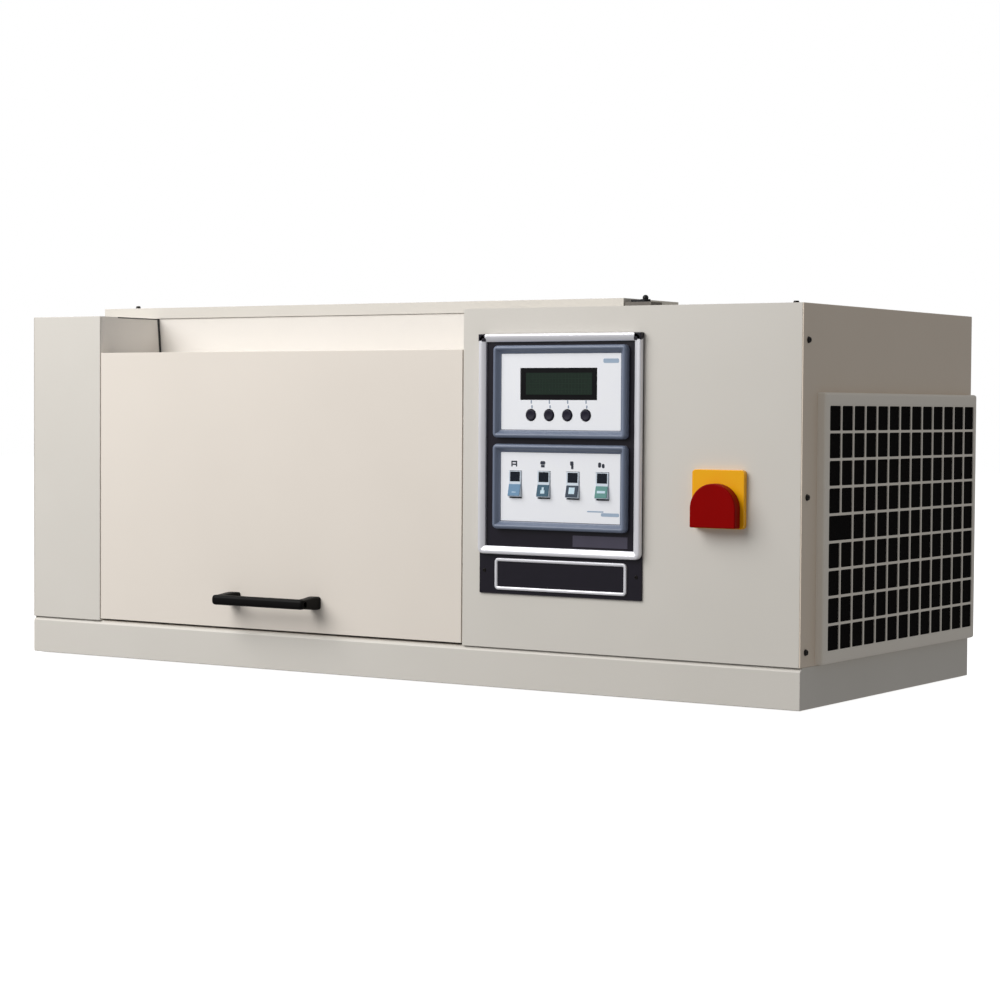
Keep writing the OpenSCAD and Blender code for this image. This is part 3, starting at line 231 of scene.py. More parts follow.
panel_black = moulded("satin_black_lacquer", "#1E1A25", "#19161F", 0.28, 0.8 * MM, 0.02, 0, 0.35)
border_black = moulded("display_border", "#060609", "#040406", 0.35, 0.5 * MM, 0.02, 0, 0.15)
bezel_abs = moulded("blue_grey_abs", "#707A8E", "#6C768B", 0.36, 0.6 * MM, 0.01)
fascia_film = moulded("printed_polyester_film", "#FCFDFF", "#F8F9FF", 0.34, 0.35 * MM, 0.03)
print_grey = moulded("printed_ink_grey", "#9AA6B8", "#8E9AAD", 0.40, 0.35 * MM, 0.05)
print_blue = moulded("printed_ink_pale_blue", "#A9BCD0", "#9CB0C6", 0.40, 0.35 * MM, 0.05)
print_dark = moulded("printed_ink_dark", "#2A3040", "#232837", 0.42, 0.35 * MM, 0.05)
key_rubber = moulded("silicone_key", "#17122A", "#110D20", 0.50, 0.5 * MM, 0.08, 0, 0.3)
handle_nylon = moulded("black_glass_filled_nylon", "#060505", "#0A0808", 0.50, 0.5 * MM, 0.15, 0,
                       0.12)
case_black = moulded("black_abs_case", "#131418", "#0D0E11", 0.42, 0.5 * MM, 0.1, 0, 0.35)
foot_rubber = moulded("moulded_rubber", "#15151A", "#1B1B20", 0.62, 0.7 * MM, 0.3, sheen=0.1)
# The seal's dark rubber also paints the strips of shade in the recess.
seal_and_gap_shade = moulded("silicone_seal_and_gap_shade", "#1A1A1D", "#222226", 0.50, 0.7 * MM, 0.2, sheen=0.1)
yellow_abs = moulded("gloss_yellow_abs", "#FFBC10", "#FFB208", 0.24, 0.9 * MM, 0.03, 0.1, 0.4)
red_abs = moulded("gloss_red_abs", "#960100", "#8C0100", 0.36, 0.9 * MM, 0.02, 0, 0.06)
latch_grey = moulded("grey_nylon", "#6E6860", "#5F5953", 0.45, 0.5 * MM, 0.15)
switch_plastic = moulded("grey_polyamide", "#D3D6D8", "#C8CBCD", 0.45, 0.6 * MM, 0.12)
rocker_navy = moulded("dark_navy_polycarbonate", "#0E1826", "#0A121D", 0.26, 0.8 * MM, 0.03, 0,
                      0.35)
steatite = moulded("unglazed_steatite", "#EDE9DF", "#E2DDD1", 0.70, 0.5 * MM, 0.3)
print("mouldings:", panel_black.name, bezel_abs.name, yellow_abs.name, red_abs.name)

# %% [markdown]
# ## Foam, glass and circuit board
# The filter behind the side grille is reticulated foam: open cells about 2.5 mm
# wide, so a Voronoi edge pattern dents it and paints shade into each cell. Glass
# parts transmit light. The board is glass fibre under a green solder mask with bright tracks.

# %% Foam, glass, board and display
def foam():
    """Reticulated polyurethane foam: thin struts, with painted shade in the pits between."""
    material, tree, place, body = surface("reticulated_foam", "#0A0809", Roughness=0.95,
                                          Specular_IOR_Level=0.1)
    cells = add(tree, "ShaderNodeTexVoronoi", {"feature": "DISTANCE_TO_EDGE"}, Vector=place,
                Scale=1 / (2.5 * MM)).outputs["Distance"]
    # The darker tint in the cells is painted shade inside the open foam.
    pit_shade = add(tree, "ShaderNodeMapRange", Value=cells, To_Min=0, To_Max=6).outputs["Result"]
    tint = add(tree, "ShaderNodeMix", {"data_type": "RGBA"}, Factor=pit_shade, A=linear("#100C0B"),
               B=linear("#020101"))
    bump = add(tree, "ShaderNodeBump", {"invert": True}, Strength=0.8, Distance=0.8 * MM,
               Height=cells)
    tree.links.new(tint.outputs["Result"], body.inputs["Base Color"])
    tree.links.new(bump.outputs["Normal"], body.inputs["Normal"])
    return material


def glass(name, colour, rough):
    """Clear or tinted glass with a faint waviness."""
    material, tree, place, body = surface(name, colour, Roughness=rough, IOR=1.46,
                                          Transmission_Weight=1.0)
    wave = add(tree, "ShaderNodeBump", Strength=0.03, Distance=0.1 * MM,
               Height=mottle(tree, place, 20 * MM, 1.0))
    tree.links.new(wave.outputs["Normal"], body.inputs["Normal"])
    return material


def circuit_board():
    """Solder mask over copper: tracks 1 mm wide on a 2.5 mm grid."""
    material, tree, place, body = surface("solder_mask_board", "#1F5A36", Roughness=0.3)
    tracks = add(tree, "ShaderNodeTexBrick", {"offset": 0.5}, Scale=1 / (10 * MM),
                 Mortar_Size=0.06, Color1=linear("#1F5A36"), Color2=linear("#1B5030"),
                 Mortar=linear("#5C8C4A"))
    turned = add(tree, "ShaderNodeMapping", Vector=place, Rotation=(math.pi / 2, 0, 0))
    tree.links.new(turned.outputs["Vector"], tracks.inputs["Vector"])
    tree.links.new(tracks.outputs["Color"], body.inputs["Base Color"])
    return material


def lcd_window():
    """Reflective LCD behind a smoked window: dark green with a faint cloud."""
    material, tree, place, body = surface("lcd_window", "#1A2A21", Roughness=0.16,
                                          Specular_IOR_Level=0.3)
    tint = add(tree, "ShaderNodeMix", {"data_type": "RGBA"}, A=linear("#1B2B22"),
               B=linear("#25362B"), Factor=mottle(tree, place, 50 * MM, 1.0))
    tree.links.new(tint.outputs["Result"], body.inputs["Base Color"])
    return material

filter_foam, board_green, lcd = foam(), circuit_board(), lcd_window()
filter_clear = glass("filter_glass_clear", "#EAF2F4", 0.02)
quartz = glass("fused_quartz", "#F2F6FA", 0.03)
lcd_cell = moulded("lcd_cell", "#1E2D24", "#1A2820", 0.25, 0.4 * MM, 0.02, 0, 0.3)
lens_blue = moulded("rocker_lens_blue", "#6C93B4", "#5F86A6", 0.45, 0.8 * MM, 0.02, 0, 0.3)
lens_teal = moulded("rocker_lens_teal", "#2F5B72", "#284F63", 0.45, 0.8 * MM, 0.02, 0, 0.3)
lens_dark = moulded("rocker_lens_dark", "#24384C", "#1D2E3F", 0.45, 0.8 * MM, 0.02, 0, 0.3)
lens_green = moulded("rocker_lens_green", "#5F9690", "#548A84", 0.45, 0.8 * MM, 0.02, 0, 0.3)
mark_light = moulded("printed_ink_light", "#C4DCE8", "#B6D0DE", 0.35, 0.4 * MM, 0.03)
strip_label = moulded("blank_strip_label", "#4A4656", "#423E4D", 0.30, 0.6 * MM, 0.05, 0.2)
print("foam, glass, board, display and lenses ready")

# %% [markdown]
# ## From CAD solid to finished piece
# A CAD sheet has knife edges; a folded and coated one has an edge radius near
# 0.7 mm that catches a thin line of light. So each shell is copied, its loose
# triangles merged into flat faces, and its sharp edges rounded. Weighted normals
# keep the flats flat beside the round edges.

# %% Piece makers
def finish_piece(name, mesh_bm, material, body, stands_for=(), edge=0.0, steps=2,
                 sharp=30):
    """A bmesh becomes an object that rides on a body; `edge` rounds its sharp edges."""
    mesh = bpy.data.meshes.new(name)
    mesh_bm.to_mesh(mesh)
    mesh_bm.free()
    obj = bpy.data.objects.new(name, mesh)
    bpy.context.scene.collection.objects.link(obj)
    for m in material if isinstance(material, (list, tuple)) else [material]:
        mesh.materials.append(m)
    if edge:
        bevel = obj.modifiers.new("edge radius", "BEVEL")
        bevel.width, bevel.segments, bevel.limit_method = edge, steps, "ANGLE"
        bevel.angle_limit = math.radians(sharp)
        bevel.use_clamp_overlap = True
    for polygon in mesh.polygons:
        polygon.use_smooth = True
    mesh.set_sharp_from_angle(angle=math.radians(40 if edge == 0 else 60))
    even = obj.modifiers.new("flat faces stay flat", "WEIGHTED_NORMAL")
    even.keep_sharp = True
    evaluated = obj.evaluated_get(bpy.context.evaluated_depsgraph_get())
    made = bpy.data.meshes.new_from_object(evaluated)
    obj.modifiers.clear()
    obj.data = made
    made.name = name
    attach(obj, body)
    if stands_for:
        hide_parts(*stands_for)
    return obj


def cad_copy(node):
    """A CAD node's mesh as a bmesh with merged points and whole flat faces."""
    copied = bmesh.new()
    copied.from_mesh(frame["nodes"][node].data)
    bmesh.ops.remove_doubles(copied, verts=copied.verts, dist=1e-6)
    bmesh.ops.dissolve_limit(copied, angle_limit=math.radians(0.5), verts=copied.verts,
                             edges=copied.edges)
    return copied


body_of = {node: body for body, nodes in frame["record"]["behaviour"]["bodies"].items()
           for node in nodes}


def softened(node, material, edge, steps=2, sharp=30):
    """The CAD node with its edges rounded, in its place."""
    return finish_piece("fine_" + node, cad_copy(node), material, body_of[node], [node],
                        edge * MM, steps, sharp)

# %% [markdown]
# ## Cabinet shells
# Side walls, fronts, top, plinth and back are one family: 1.5 mm sheet, folded,
# then coated. The plinth's fold is bigger, so its radius is too.

# %% Cabinet shells
# The right side panel takes the lighter, warmer coat: painted light on the shaded side.
for node, coat, *rounding in (
        ("left_side_panel", cabinet_coat, 0.6), ("front_left_panel", cabinet_coat, 0.6),
        ("front_right_panel", cabinet_coat, 0.6), ("top_panel", cabinet_coat, 0.6),
        ("rear_panel", cabinet_coat, 0.6), ("right_side_panel", side_coat_painted_light, 0.6),
        ("base_plinth", cabinet_coat, 0.7), ("top_recess", recess_coat, 0.5),
        ("door_shell", door_coat, 0.7, 3), ("door_inner_panel", cabinet_coat, 0.6),
        ("lamp_cover", cover_coat, 0.6), ("chamber_front_frame", cabinet_coat, 0.5)):
    softened(node, coat, *rounding)

# %% [markdown]
# The recess over the door is a folded tray with open corners. Thin dark strips are
# painted shade: in the gap up each back corner, whose back wall leans, and under
# the cover along each cheek's top.

# %% Painted shade in the recess
low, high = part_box("top_recess")
sheet_t, lean, shade_w, shade_t, top_shade = 1.5 * MM, 4 * MM, 3.6 * MM, 0.4 * MM, 1.3 * MM
back_foot, floor_z = high.y - sheet_t, low.z + sheet_t
back_top, cheek_front = back_foot - lean, low.y + 30 * MM
up_the_corner = ((back_foot - shade_w, floor_z), (back_foot, floor_z), (back_top, high.z),
                 (back_top - shade_w, high.z))
along_the_cheek = ((cheek_front, high.z - top_shade), (back_top, high.z - top_shade),
                   (back_top, high.z), (cheek_front, high.z))
gap_strips = bmesh.new()
for face, way in ((low.x + sheet_t, 1), (high.x - sheet_t, -1)):
    for outline in (up_the_corner, along_the_cheek):
        points = [gap_strips.verts.new((x, y, z)) for x in (face, face + way * shade_t)
                  for y, z in outline]
        bmesh.ops.convex_hull(gap_strips, input=points)
# Dark strips in the seal's rubber colour: painted shade in the recess's gaps.
finish_piece("recess_gap_shade", gap_strips, seal_and_gap_shade, "cabinet")
print("painted_shade beads", round(shade_w / MM, 1), "mm wide")

# %% [markdown]
# ## Rings that follow a rounded rectangle
# The bezels, the bright frame, the nameplate rim and the grille's rim are all one
# idea: a small section carried round a rectangle with round corners. A section
# point is (inset from the outer edge, height above the mounting face), and the
# mesh joins ring after ring. One closed section gives one closed shell.

# %% A section round a rectangle
def front_place(u, v, h):
    """From across, up and out to the front face of the cabinet."""
    return Vector((u, front_y - h, v))


def side_place(u, v, h):
    """From back, up and out to the right face of the cabinet."""
    return Vector((right_x + h, u, v))


def rounded_loop(low, high, radius, inset, steps=6):
    """Points round a rectangle, counter-clockwise, its corners round."""
    r = max(radius - inset, 0.15 * MM)
    corners = [(high[0] - inset - r, high[1] - inset - r, 0),
               (low[0] + inset + r, high[1] - inset - r, 90),
               (low[0] + inset + r, low[1] + inset + r, 180),
               (high[0] - inset - r, low[1] + inset + r, 270)]
    return [(x + r * math.cos(math.radians(start + 90 * n / steps)),
             z + r * math.sin(math.radians(start + 90 * n / steps)))
            for x, z, start in corners for n in range(steps + 1)]


def join_loops(made, loops, closed=False):
    """Faces from loop to loop. Closed joins the last to the first; open ends get a cap."""
    count = len(loops[0])
    for first, second in zip(loops, loops[1:] + (loops[:1] if closed else [])):
        for n in range(count):
            m = (n + 1) % count
            made.faces.new((first[n], first[m], second[m], second[n]))
    if not closed:
        made.faces.new(loops[-1])
        made.faces.new(loops[0][::-1])
    bmesh.ops.recalc_face_normals(made, faces=made.faces)
    return made


def ring(place, low, high, radius, section):
    """A closed shell: the section carried round the rectangle. A section point is inset
    and height in mm; a third number insets its top and bottom sides further."""
    made = bmesh.new()
    return join_loops(made, [[made.verts.new(place(u, v, h * MM)) for u, v in rounded_loop(
        (low[0], low[1] + sum(more) * MM), (high[0], high[1] - sum(more) * MM), radius * MM,
        inset * MM)] for inset, h, *more in section], closed=True)


def plate(place, low, high, radius, bottom, top, edge=0.0):
    """A closed plate with round corners; `edge` turns its outer rim over."""
    made = bmesh.new()
    levels = [(0, bottom), (0, top - edge)] + ([(edge, top)] if edge else [])
    return join_loops(made, [[made.verts.new(place(u, v, h * MM)) for u, v in rounded_loop(
        low, high, radius * MM, inset * MM)] for inset, h in levels])


def flat_box(node):
    """Lowest and highest (x, z) of a CAD node."""
    low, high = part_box(node)
    return (low.x, low.z), (high.x, high.z)

front_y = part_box("front_right_panel")[0].y
right_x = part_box("right_side_panel")[1].x
print("front face at y", round(front_y, 4), "and right face at x", round(right_x, 4))

# %% [markdown]
# ## The instrument panel
# A satin black plate carries a bright aluminium frame with black corner caps.
# The frame is an extrusion: a flat land, a rolled outer edge and a fall inward.

# %% Black plate, bright frame and corner caps
softened("control_panel_plate", panel_black, 0.3, 1)
low, high = flat_box("panel_frame")
back, out = (abs(corner.y - front_y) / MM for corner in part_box("panel_frame")[::-1])
bar, corner_radius = 8.6, 6.5
section = [(0, back), (0, out - 1.6), (0.5, out - 0.6), (1.6, out), (4.2, out),
           (5.4, out - 0.9), (7.4, out - 1.3), (bar, out - 2.6), (bar, back)]
finish_piece("bright_frame", ring(front_place, low, high, corner_radius, section), anodised,
             "cabinet", ["panel_frame"])
softened("frame_corners", panel_black, 0.8, 3)
print("frame stands", round(out, 1), "mm out")

# %% [markdown]
# ## Instrument bezels
# Each instrument is held by a moulded ring with a broad rolled face and a slope
# that falls to the overlay. The two rings are one CAD node, so its loose parts are
# found first and each gets its own ring.

# %% Loose parts of a CAD node, and the bezels
def loose_parts(node):
    """Boxes of a CAD node's separate solids, lowest and leftmost first."""
    copied = cad_copy(node)
    left, boxes = set(copied.verts), []
    while left:
        grown, edge = set(), [left.pop()]
        while edge:
            vertex = edge.pop()
            grown.add(vertex)
            near = {e.other_vert(vertex) for e in vertex.link_edges} & left
            left -= near
            edge.extend(near)
        points = [v.co for v in grown]
        boxes.append(tuple(Vector([pick(p[axis] for p in points) for axis in range(3)])
                           for pick in (min, max)))
    copied.free()
    return sorted(boxes, key=lambda b: (round(b[0].z, 3), round(b[0].x, 3), round(b[0].y, 3)))


def joined(parts):
    """Several bmeshes as one."""
    whole = bmesh.new()
    for part in parts:
        held = bpy.data.meshes.new("held")
        part.to_mesh(held)
        part.free()
        whole.from_mesh(held)
        bpy.data.meshes.remove(held)
    return whole

bezel_boxes = loose_parts("instrument_bezels")
back, out, wide, corner_radius = 2.0, 9.0, 8.5, 5
section = [(0, back), (0, out - 3.0), (0.5, out - 1.4), (1.6, out - 0.4), (2.8, out),
           (3.8, out - 0.2), (4.8, out - 1.0), (6.2, out - 3.2), (7.4, out - 4.4),
           (wide, out - 4.6), (wide, back)]
rings = [ring(front_place, (b[0].x, b[0].z), (b[1].x, b[1].z), corner_radius, section)
         for b in bezel_boxes]
finish_piece("bezel_rings", joined(rings), bezel_abs, "cabinet", ["instrument_bezels"])
print("bezels:", [[round(v / MM, 1) for v in b[0]] for b in bezel_boxes])

# %% [markdown]
# ## Overlays and printed marks
# The overlay is one printed film. Its ink stands 0.02 mm on a real one; here each
# mark is a plate 0.08 mm proud, so that it shows. The marks are plain shapes: a
# strip at the top right, two small strips at the lower right, a symbol over each
# rocker, and a short tick from the display to each key.

# %% Overlay film, symbols and strips
softened("instrument_fascias", fascia_film, 0.2, 1)
lower_film, upper_film = loose_parts("instrument_fascias")
film_face = abs(upper_film[0].y - front_y) / MM


def mark(u, v, wide, tall, round_by=0.4, proud=0.08):
    """A small printed plate on the film, centred at u, v."""
    half = (wide * MM / 2, tall * MM / 2)
    return plate(front_place, (u - half[0], v - half[1]), (u + half[0], v + half[1]), round_by,
                 film_face - 0.1, film_face + proud)

# Symbol parts over each rocker, in mm: across, up, width, height and corner radius.
drawn = (((0, 2.4, 7.4, 1.6, 0.4), (-2.9, 0, 1.6, 6.0, 0.4), (2.9, 0, 1.6, 6.0, 0.4),
          (0, -0.6, 4.2, 1.6, 0.4)),
         ((0, 1.5, 6.2, 3.8, 1.4), (0, -2.0, 4.6, 2.6, 0.4)),
         ((0, 1.5, 4.2, 4.4, 1.0), (0.6, -2.4, 3.0, 4.4, 1.0)),
         ((-2.0, 0.4, 3.6, 5.4, 1.5), (2.4, -0.6, 3.4, 4.6, 1.5)))
mark_left, mark_down = 1.6 * MM, 12.3 * MM
symbols = []
for n, parts in enumerate(drawn, 1):
    low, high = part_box(f"rocker_{n}")
    u, v = (low.x + high.x) / 2 - mark_left, lower_film[1].z - mark_down
    symbols += [mark(u + a * MM, v + b * MM, *size) for a, b, *size in parts]
finish_piece("rocker_symbols", joined(symbols), print_dark, "cabinet")
finish_piece("film_strips", joined([
    mark(upper_film[1].x - 12 * MM, upper_film[1].z - 8 * MM, 19, 4.6, 1.5),
    mark(lower_film[1].x - 30 * MM, lower_film[0].z + 12.5 * MM, 20, 1.4, 0.6),
    mark(lower_film[1].x - 12 * MM, lower_film[0].z + 9.5 * MM, 22, 3.6, 1.2)]),
    print_blue, "cabinet")
print("film face", round(film_face, 2), "mm out; symbols", len(symbols))

# %% [markdown]
# ## Repeats with Geometry Nodes
# A node tree is the tidy way to repeat one shape on a rule. A small wrapper makes
# the tree, its named inputs and its modifier, sets the inputs by their socket
# identifiers, and turns the result into a plain mesh.

# %% Build, set and apply a node tree
def node_tree(name, inputs, on_points=False):
    """A geometry tree with named inputs; on_points adds the mesh whose points are used."""
    tree = bpy.data.node_groups.new(name, "GeometryNodeTree")
    tree.interface.new_socket("Geometry", in_out="OUTPUT", socket_type="NodeSocketGeometry")
    if on_points:
        tree.interface.new_socket("Spots", in_out="INPUT", socket_type="NodeSocketGeometry")
    for label, value in inputs.items():
        kind = "NodeSocketInt" if isinstance(value, int) else "NodeSocketFloat"
        tree.interface.new_socket(label, in_out="INPUT", socket_type=kind)
    return tree, tree.nodes.new("NodeGroupInput").outputs


def close_tree(tree, geometry, material):
    """Realize the instances, set the material, and join to the output."""
    real = add(tree, "GeometryNodeRealizeInstances", Geometry=geometry)
    painted = add(tree, "GeometryNodeSetMaterial", Geometry=real.outputs[0], Material=material)
    add(tree, "NodeGroupOutput", Geometry=painted.outputs[0])


def run_tree(tree, inputs, spots=None):
    """The tree's result as a bmesh; `spots` is a mesh whose points it uses."""
    obj = bpy.data.objects.new("held", spots or bpy.data.meshes.new("held"))
    bpy.context.scene.collection.objects.link(obj)
    modifier = obj.modifiers.new(tree.name, "NODES")
    modifier.node_group = tree
    for item in tree.interface.items_tree:
        if item.in_out == "INPUT" and item.name in inputs:
            modifier[item.identifier] = inputs[item.name]
    made = bpy.data.meshes.new_from_object(
        obj.evaluated_get(bpy.context.evaluated_depsgraph_get()))
    bpy.data.objects.remove(obj)
    result = bmesh.new()
    result.from_mesh(made)
    bmesh.ops.remove_doubles(result, verts=result.verts, dist=1e-6)
    return result

print("geometry node helpers ready")

# %% [markdown]
# ## The side grille
# The grille is a punched steel face with round-cornered openings inside a folded
# rim. Each opening is one cell: an outer rectangle of one pitch, an inner one with
# filleted corners, filled between and given a thickness. The sums are done here,
# so that the tree reads plain sizes from its named inputs.

# %% Grille sizes and one cell
grille_low, grille_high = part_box("side_grille")
columns, rows, bar, cell_thick = 13, 9, 2.6 * MM, 1.5 * MM
side_land, end_land = 7.7, 12.2
pitch_y = (grille_high.y - grille_low.y - 2 * side_land * MM) / columns
pitch_z = (grille_high.z - grille_low.z - 2 * end_land * MM) / rows
span_y, span_z = (columns - 1) * pitch_y, (rows - 1) * pitch_z
sizes = {"Columns": columns, "Rows": rows, "Span across": span_y, "Span up": span_z,
         "Cell across": pitch_y, "Opening across": pitch_y - bar, "Cell up": pitch_z,
         "Opening up": pitch_z - bar, "Double across": 2 * pitch_y,
         "Double opening": 2 * pitch_y - bar, "Double at": (pitch_y - span_y) / 2,
         "Double ends": 1.5 * pitch_y - span_y / 2, "Half row": pitch_z / 2,
         "Corner": 1.6 * MM, "Thickness": cell_thick}
tree, given = node_tree("grille_cells", sizes)


def joined_in_tree(*geometries):
    """The outputs of several nodes as one geometry."""
    both = add(tree, "GeometryNodeJoinGeometry")
    for node in geometries:
        tree.links.new(node.outputs[0], both.inputs[0])
    return both


def cell(across, opening):
    """One opening in its own piece of sheet; its two widths are named inputs."""
    outer = add(tree, "GeometryNodeCurvePrimitiveQuadrilateral", Width=given[across],
                Height=given["Cell up"])
    inner = add(tree, "GeometryNodeCurvePrimitiveQuadrilateral", Width=given[opening],
                Height=given["Opening up"])
    fillet = add(tree, "GeometryNodeFilletCurve", {"mode": "POLY"}, Curve=inner.outputs[0],
                 Radius=given["Corner"], Count=2)
    flat = add(tree, "GeometryNodeFillCurve", Curve=joined_in_tree(outer, fillet).outputs[0])
    raised = add(tree, "GeometryNodeExtrudeMesh", Mesh=flat.outputs[0],
                 Offset_Scale=given["Thickness"], Individual=False)
    under = add(tree, "GeometryNodeFlipFaces", Mesh=flat.outputs[0])
    return joined_in_tree(raised, under).outputs[0]

print("grille pitch", round(pitch_y / MM, 2), "by", round(pitch_z / MM, 2), "mm")

# %% [markdown]
# Cells touch and merge to one sheet. In the middle row the first bar is left out,
# so a double cell stands there and the two single ones under it are deleted.

# %% Grille cells by Geometry Nodes
grid = add(tree, "GeometryNodeMeshGrid", Size_X=given["Span across"], Size_Y=given["Span up"],
           Vertices_X=given["Columns"], Vertices_Y=given["Rows"])
where = add(tree, "ShaderNodeSeparateXYZ",
            Vector=add(tree, "GeometryNodeInputPosition").outputs[0])
first_two = add(tree, "ShaderNodeMath", {"operation": "LESS_THAN"}, n0=where.outputs["X"],
                n1=given["Double ends"])
off_middle = add(tree, "ShaderNodeMath", {"operation": "ABSOLUTE"}, n0=where.outputs["Y"])
middle_row = add(tree, "ShaderNodeMath", {"operation": "LESS_THAN"}, n0=off_middle.outputs[0],
                 n1=given["Half row"])
unwanted = add(tree, "ShaderNodeMath", {"operation": "MULTIPLY"}, n0=first_two.outputs[0],
               n1=middle_row.outputs[0])
spots = add(tree, "GeometryNodeDeleteGeometry", {"domain": "POINT"},
            Geometry=grid.outputs["Mesh"], Selection=unwanted.outputs[0])
singles = add(tree, "GeometryNodeInstanceOnPoints", Points=spots.outputs[0],
              Instance=cell("Cell across", "Opening across"))
double = add(tree, "GeometryNodeTransform", Geometry=cell("Double across", "Double opening"),
             Translation=add(tree, "ShaderNodeCombineXYZ", X=given["Double at"]).outputs[0])
close_tree(tree, joined_in_tree(singles, double).outputs[0], grille_coat_painted_light)
cells = run_tree(tree, sizes)
middle_at = (grille_low + grille_high) / 2
sunk = 0.4 * MM
stand = Matrix(((0, 0, 1, grille_high.x - sunk - cell_thick), (1, 0, 0, middle_at.y),
                (0, 1, 0, middle_at.z), (0, 0, 0, 1)))
bmesh.ops.transform(cells, matrix=stand, verts=cells.verts)
print("grille cells:", len(cells.faces), "faces")

# %% [markdown]
# The rim is the same ring idea turned to the side face: it stands 10 mm off the
# wall, slopes in at its outer edge, and steps down to the punched sheet. Its top and
# bottom lands are wider than those at its sides.

# %% Grille rim
deep = (grille_high.x - right_x) / MM
wider = end_land - side_land
section = [(0, 0), (0, deep - 3.2), (0.5, deep - 1.8), (1.8, deep - 0.5), (3.2, deep),
           (side_land - 0.6, deep, wider), (side_land, deep - 0.4, wider),
           (side_land + 0.3, deep - 1.9, wider), (2, deep - 1.9), (2, 0)]
rim_radius = 2.5
rim = ring(side_place, (grille_low.y, grille_low.z), (grille_high.y, grille_high.z),
           rim_radius, section)
# The grille's lighter, whiter coat is painted light on the shaded side face.
finish_piece("punched_grille", joined([cells, rim]), grille_coat_painted_light, "cabinet", ["side_grille"])
print("grille stands", round(deep, 1), "mm off the wall")

# %% [markdown]
# ## Screws
# Pan-head screws with a cross recess hold the shells. One head is modelled in the
# tree: a cylinder, scaled down towards its top for the dome, with two crossed
# slots cut by a boolean. It is placed on one point per CAD screw, and a direction
# stored on each point turns the head to face out of its panel.

# %% Screw heads by Geometry Nodes
def screw_sizes(radius, height):
    """The tree's inputs for a head of this radius and height, in mm."""
    return {"Radius": radius * MM, "Top radius": 0.72 * radius * MM, "Height": height * MM,
            "Slot": 0.8 * MM, "Slot long": 1.1 * radius * MM, "Slot deep": 1.2 * height * MM}

tree, given = node_tree("pan_head_screws", screw_sizes(3.5, 2.2), on_points=True)
head = add(tree, "GeometryNodeMeshCone", {"fill_type": "NGON"}, Vertices=20,
           Radius_Top=given["Top radius"], Radius_Bottom=given["Radius"], Depth=given["Height"])
cut = add(tree, "GeometryNodeMeshBoolean", {"operation": "DIFFERENCE"},
          n0=head.outputs["Mesh"])
lift = add(tree, "ShaderNodeCombineXYZ", Z=given["Height"]).outputs[0]
for across, along in (("Slot long", "Slot"), ("Slot", "Slot long")):
    size = add(tree, "ShaderNodeCombineXYZ", X=given[across], Y=given[along],
               Z=given["Slot deep"]).outputs[0]
    arm = add(tree, "GeometryNodeTransform", Translation=lift,
              Geometry=add(tree, "GeometryNodeMeshCube", Size=size).outputs[0])
    tree.links.new(arm.outputs[0], cut.inputs["Mesh 2"])
outward = add(tree, "GeometryNodeInputNamedAttribute", {"data_type": "FLOAT_VECTOR"},
              Name="facing").outputs[0]
facing = add(tree, "FunctionNodeAlignRotationToVector", {"axis": "Z"}, Vector=outward)
placed = add(tree, "GeometryNodeInstanceOnPoints", Points=given["Spots"],
             Instance=cut.outputs[0], Rotation=facing.outputs[0])
close_tree(tree, placed.outputs[0], black_oxide)
screw_tree = tree
print("screw tree has", len(tree.nodes), "nodes")

# %% [markdown]
# The CAD says where each screw is. The thin side of its box gives the axis, and the
# side of the cabinet that it is on gives the way out.

# %% Screws in their places
def place_screws(name, spots, body, stands_for=(), radius=3.5, height=2.2):
    """Screws at (point, outward direction) pairs, as one piece."""
    mesh = bpy.data.meshes.new("spots")
    mesh.from_pydata([point for point, _ in spots], [], [])
    facing = mesh.attributes.new("facing", "FLOAT_VECTOR", "POINT")
    for item, (_, direction) in zip(facing.data, spots):
        item.vector = direction
    heads = run_tree(screw_tree, screw_sizes(radius, height), mesh)
    print(name, "has", len(heads.faces), "faces")
    return finish_piece(name, heads, black_oxide, body, stands_for, 0.12 * MM, 1)

wall_screws, plate_screws = [], []
for low, high in loose_parts("cabinet_screws"):
    size = high - low
    axis = min(range(3), key=lambda n: size[n])
    centre = (low + high) / 2
    outward = Vector((0, 0, 0))
    outward[axis] = 1.0 if centre[axis] > (cad_box[0][axis] + cad_box[1][axis]) / 2 else -1.0
    centre[axis] = low[axis] if outward[axis] > 0 else high[axis]
    (wall_screws if max(size) > 6 * MM else plate_screws).append((centre, outward))
place_screws("cabinet_screw_heads", wall_screws, "cabinet", ["cabinet_screws"])
place_screws("panel_screw_heads", plate_screws, "cabinet", (), 2.1, 1.0)
print("screws:", len(wall_screws), "on walls,", len(plate_screws), "on the black plate")

# %% [markdown]
# ## Display
# A four-line character LCD shows its empty cells as slightly darker blocks. They
# are a grid of 20 by 4 plates, made by the same grid-and-instance idea, behind a
# black border. Nothing is written on it.

# %% Display window and its cells
glass_low, glass_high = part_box("display_module")
window_side, window_top, window_tall = 5 * MM, 3.7 * MM, 33.4 * MM
window_x = (glass_low.x + window_side, glass_high.x - window_side)
window_z = (glass_high.z - window_top - window_tall, glass_high.z - window_top)
softened("display_module", border_black, 0.2, 1)
face = abs(glass_low.y - front_y) / MM
border = (6.4 * MM, 5.2 * MM)
finish_piece("lcd_pane", plate(front_place, (window_x[0] + border[0], window_z[0] + border[1]),
             (window_x[1] - border[0], window_z[1] - border[1]), 0.6, face - 0.3, face + 0.1),
             lcd, "cabinet", ())
across, down, pitch_x, pitch_z, cell_proud = 20, 4, 4.05 * MM, 5.6 * MM, 0.12
sizes = {"Across": across, "Down": down, "Span across": (across - 1) * pitch_x,
         "Span down": (down - 1) * pitch_z, "Cell wide": 3.3 * MM, "Cell tall": 4.7 * MM,
         "Cell thick": 0.06 * MM}
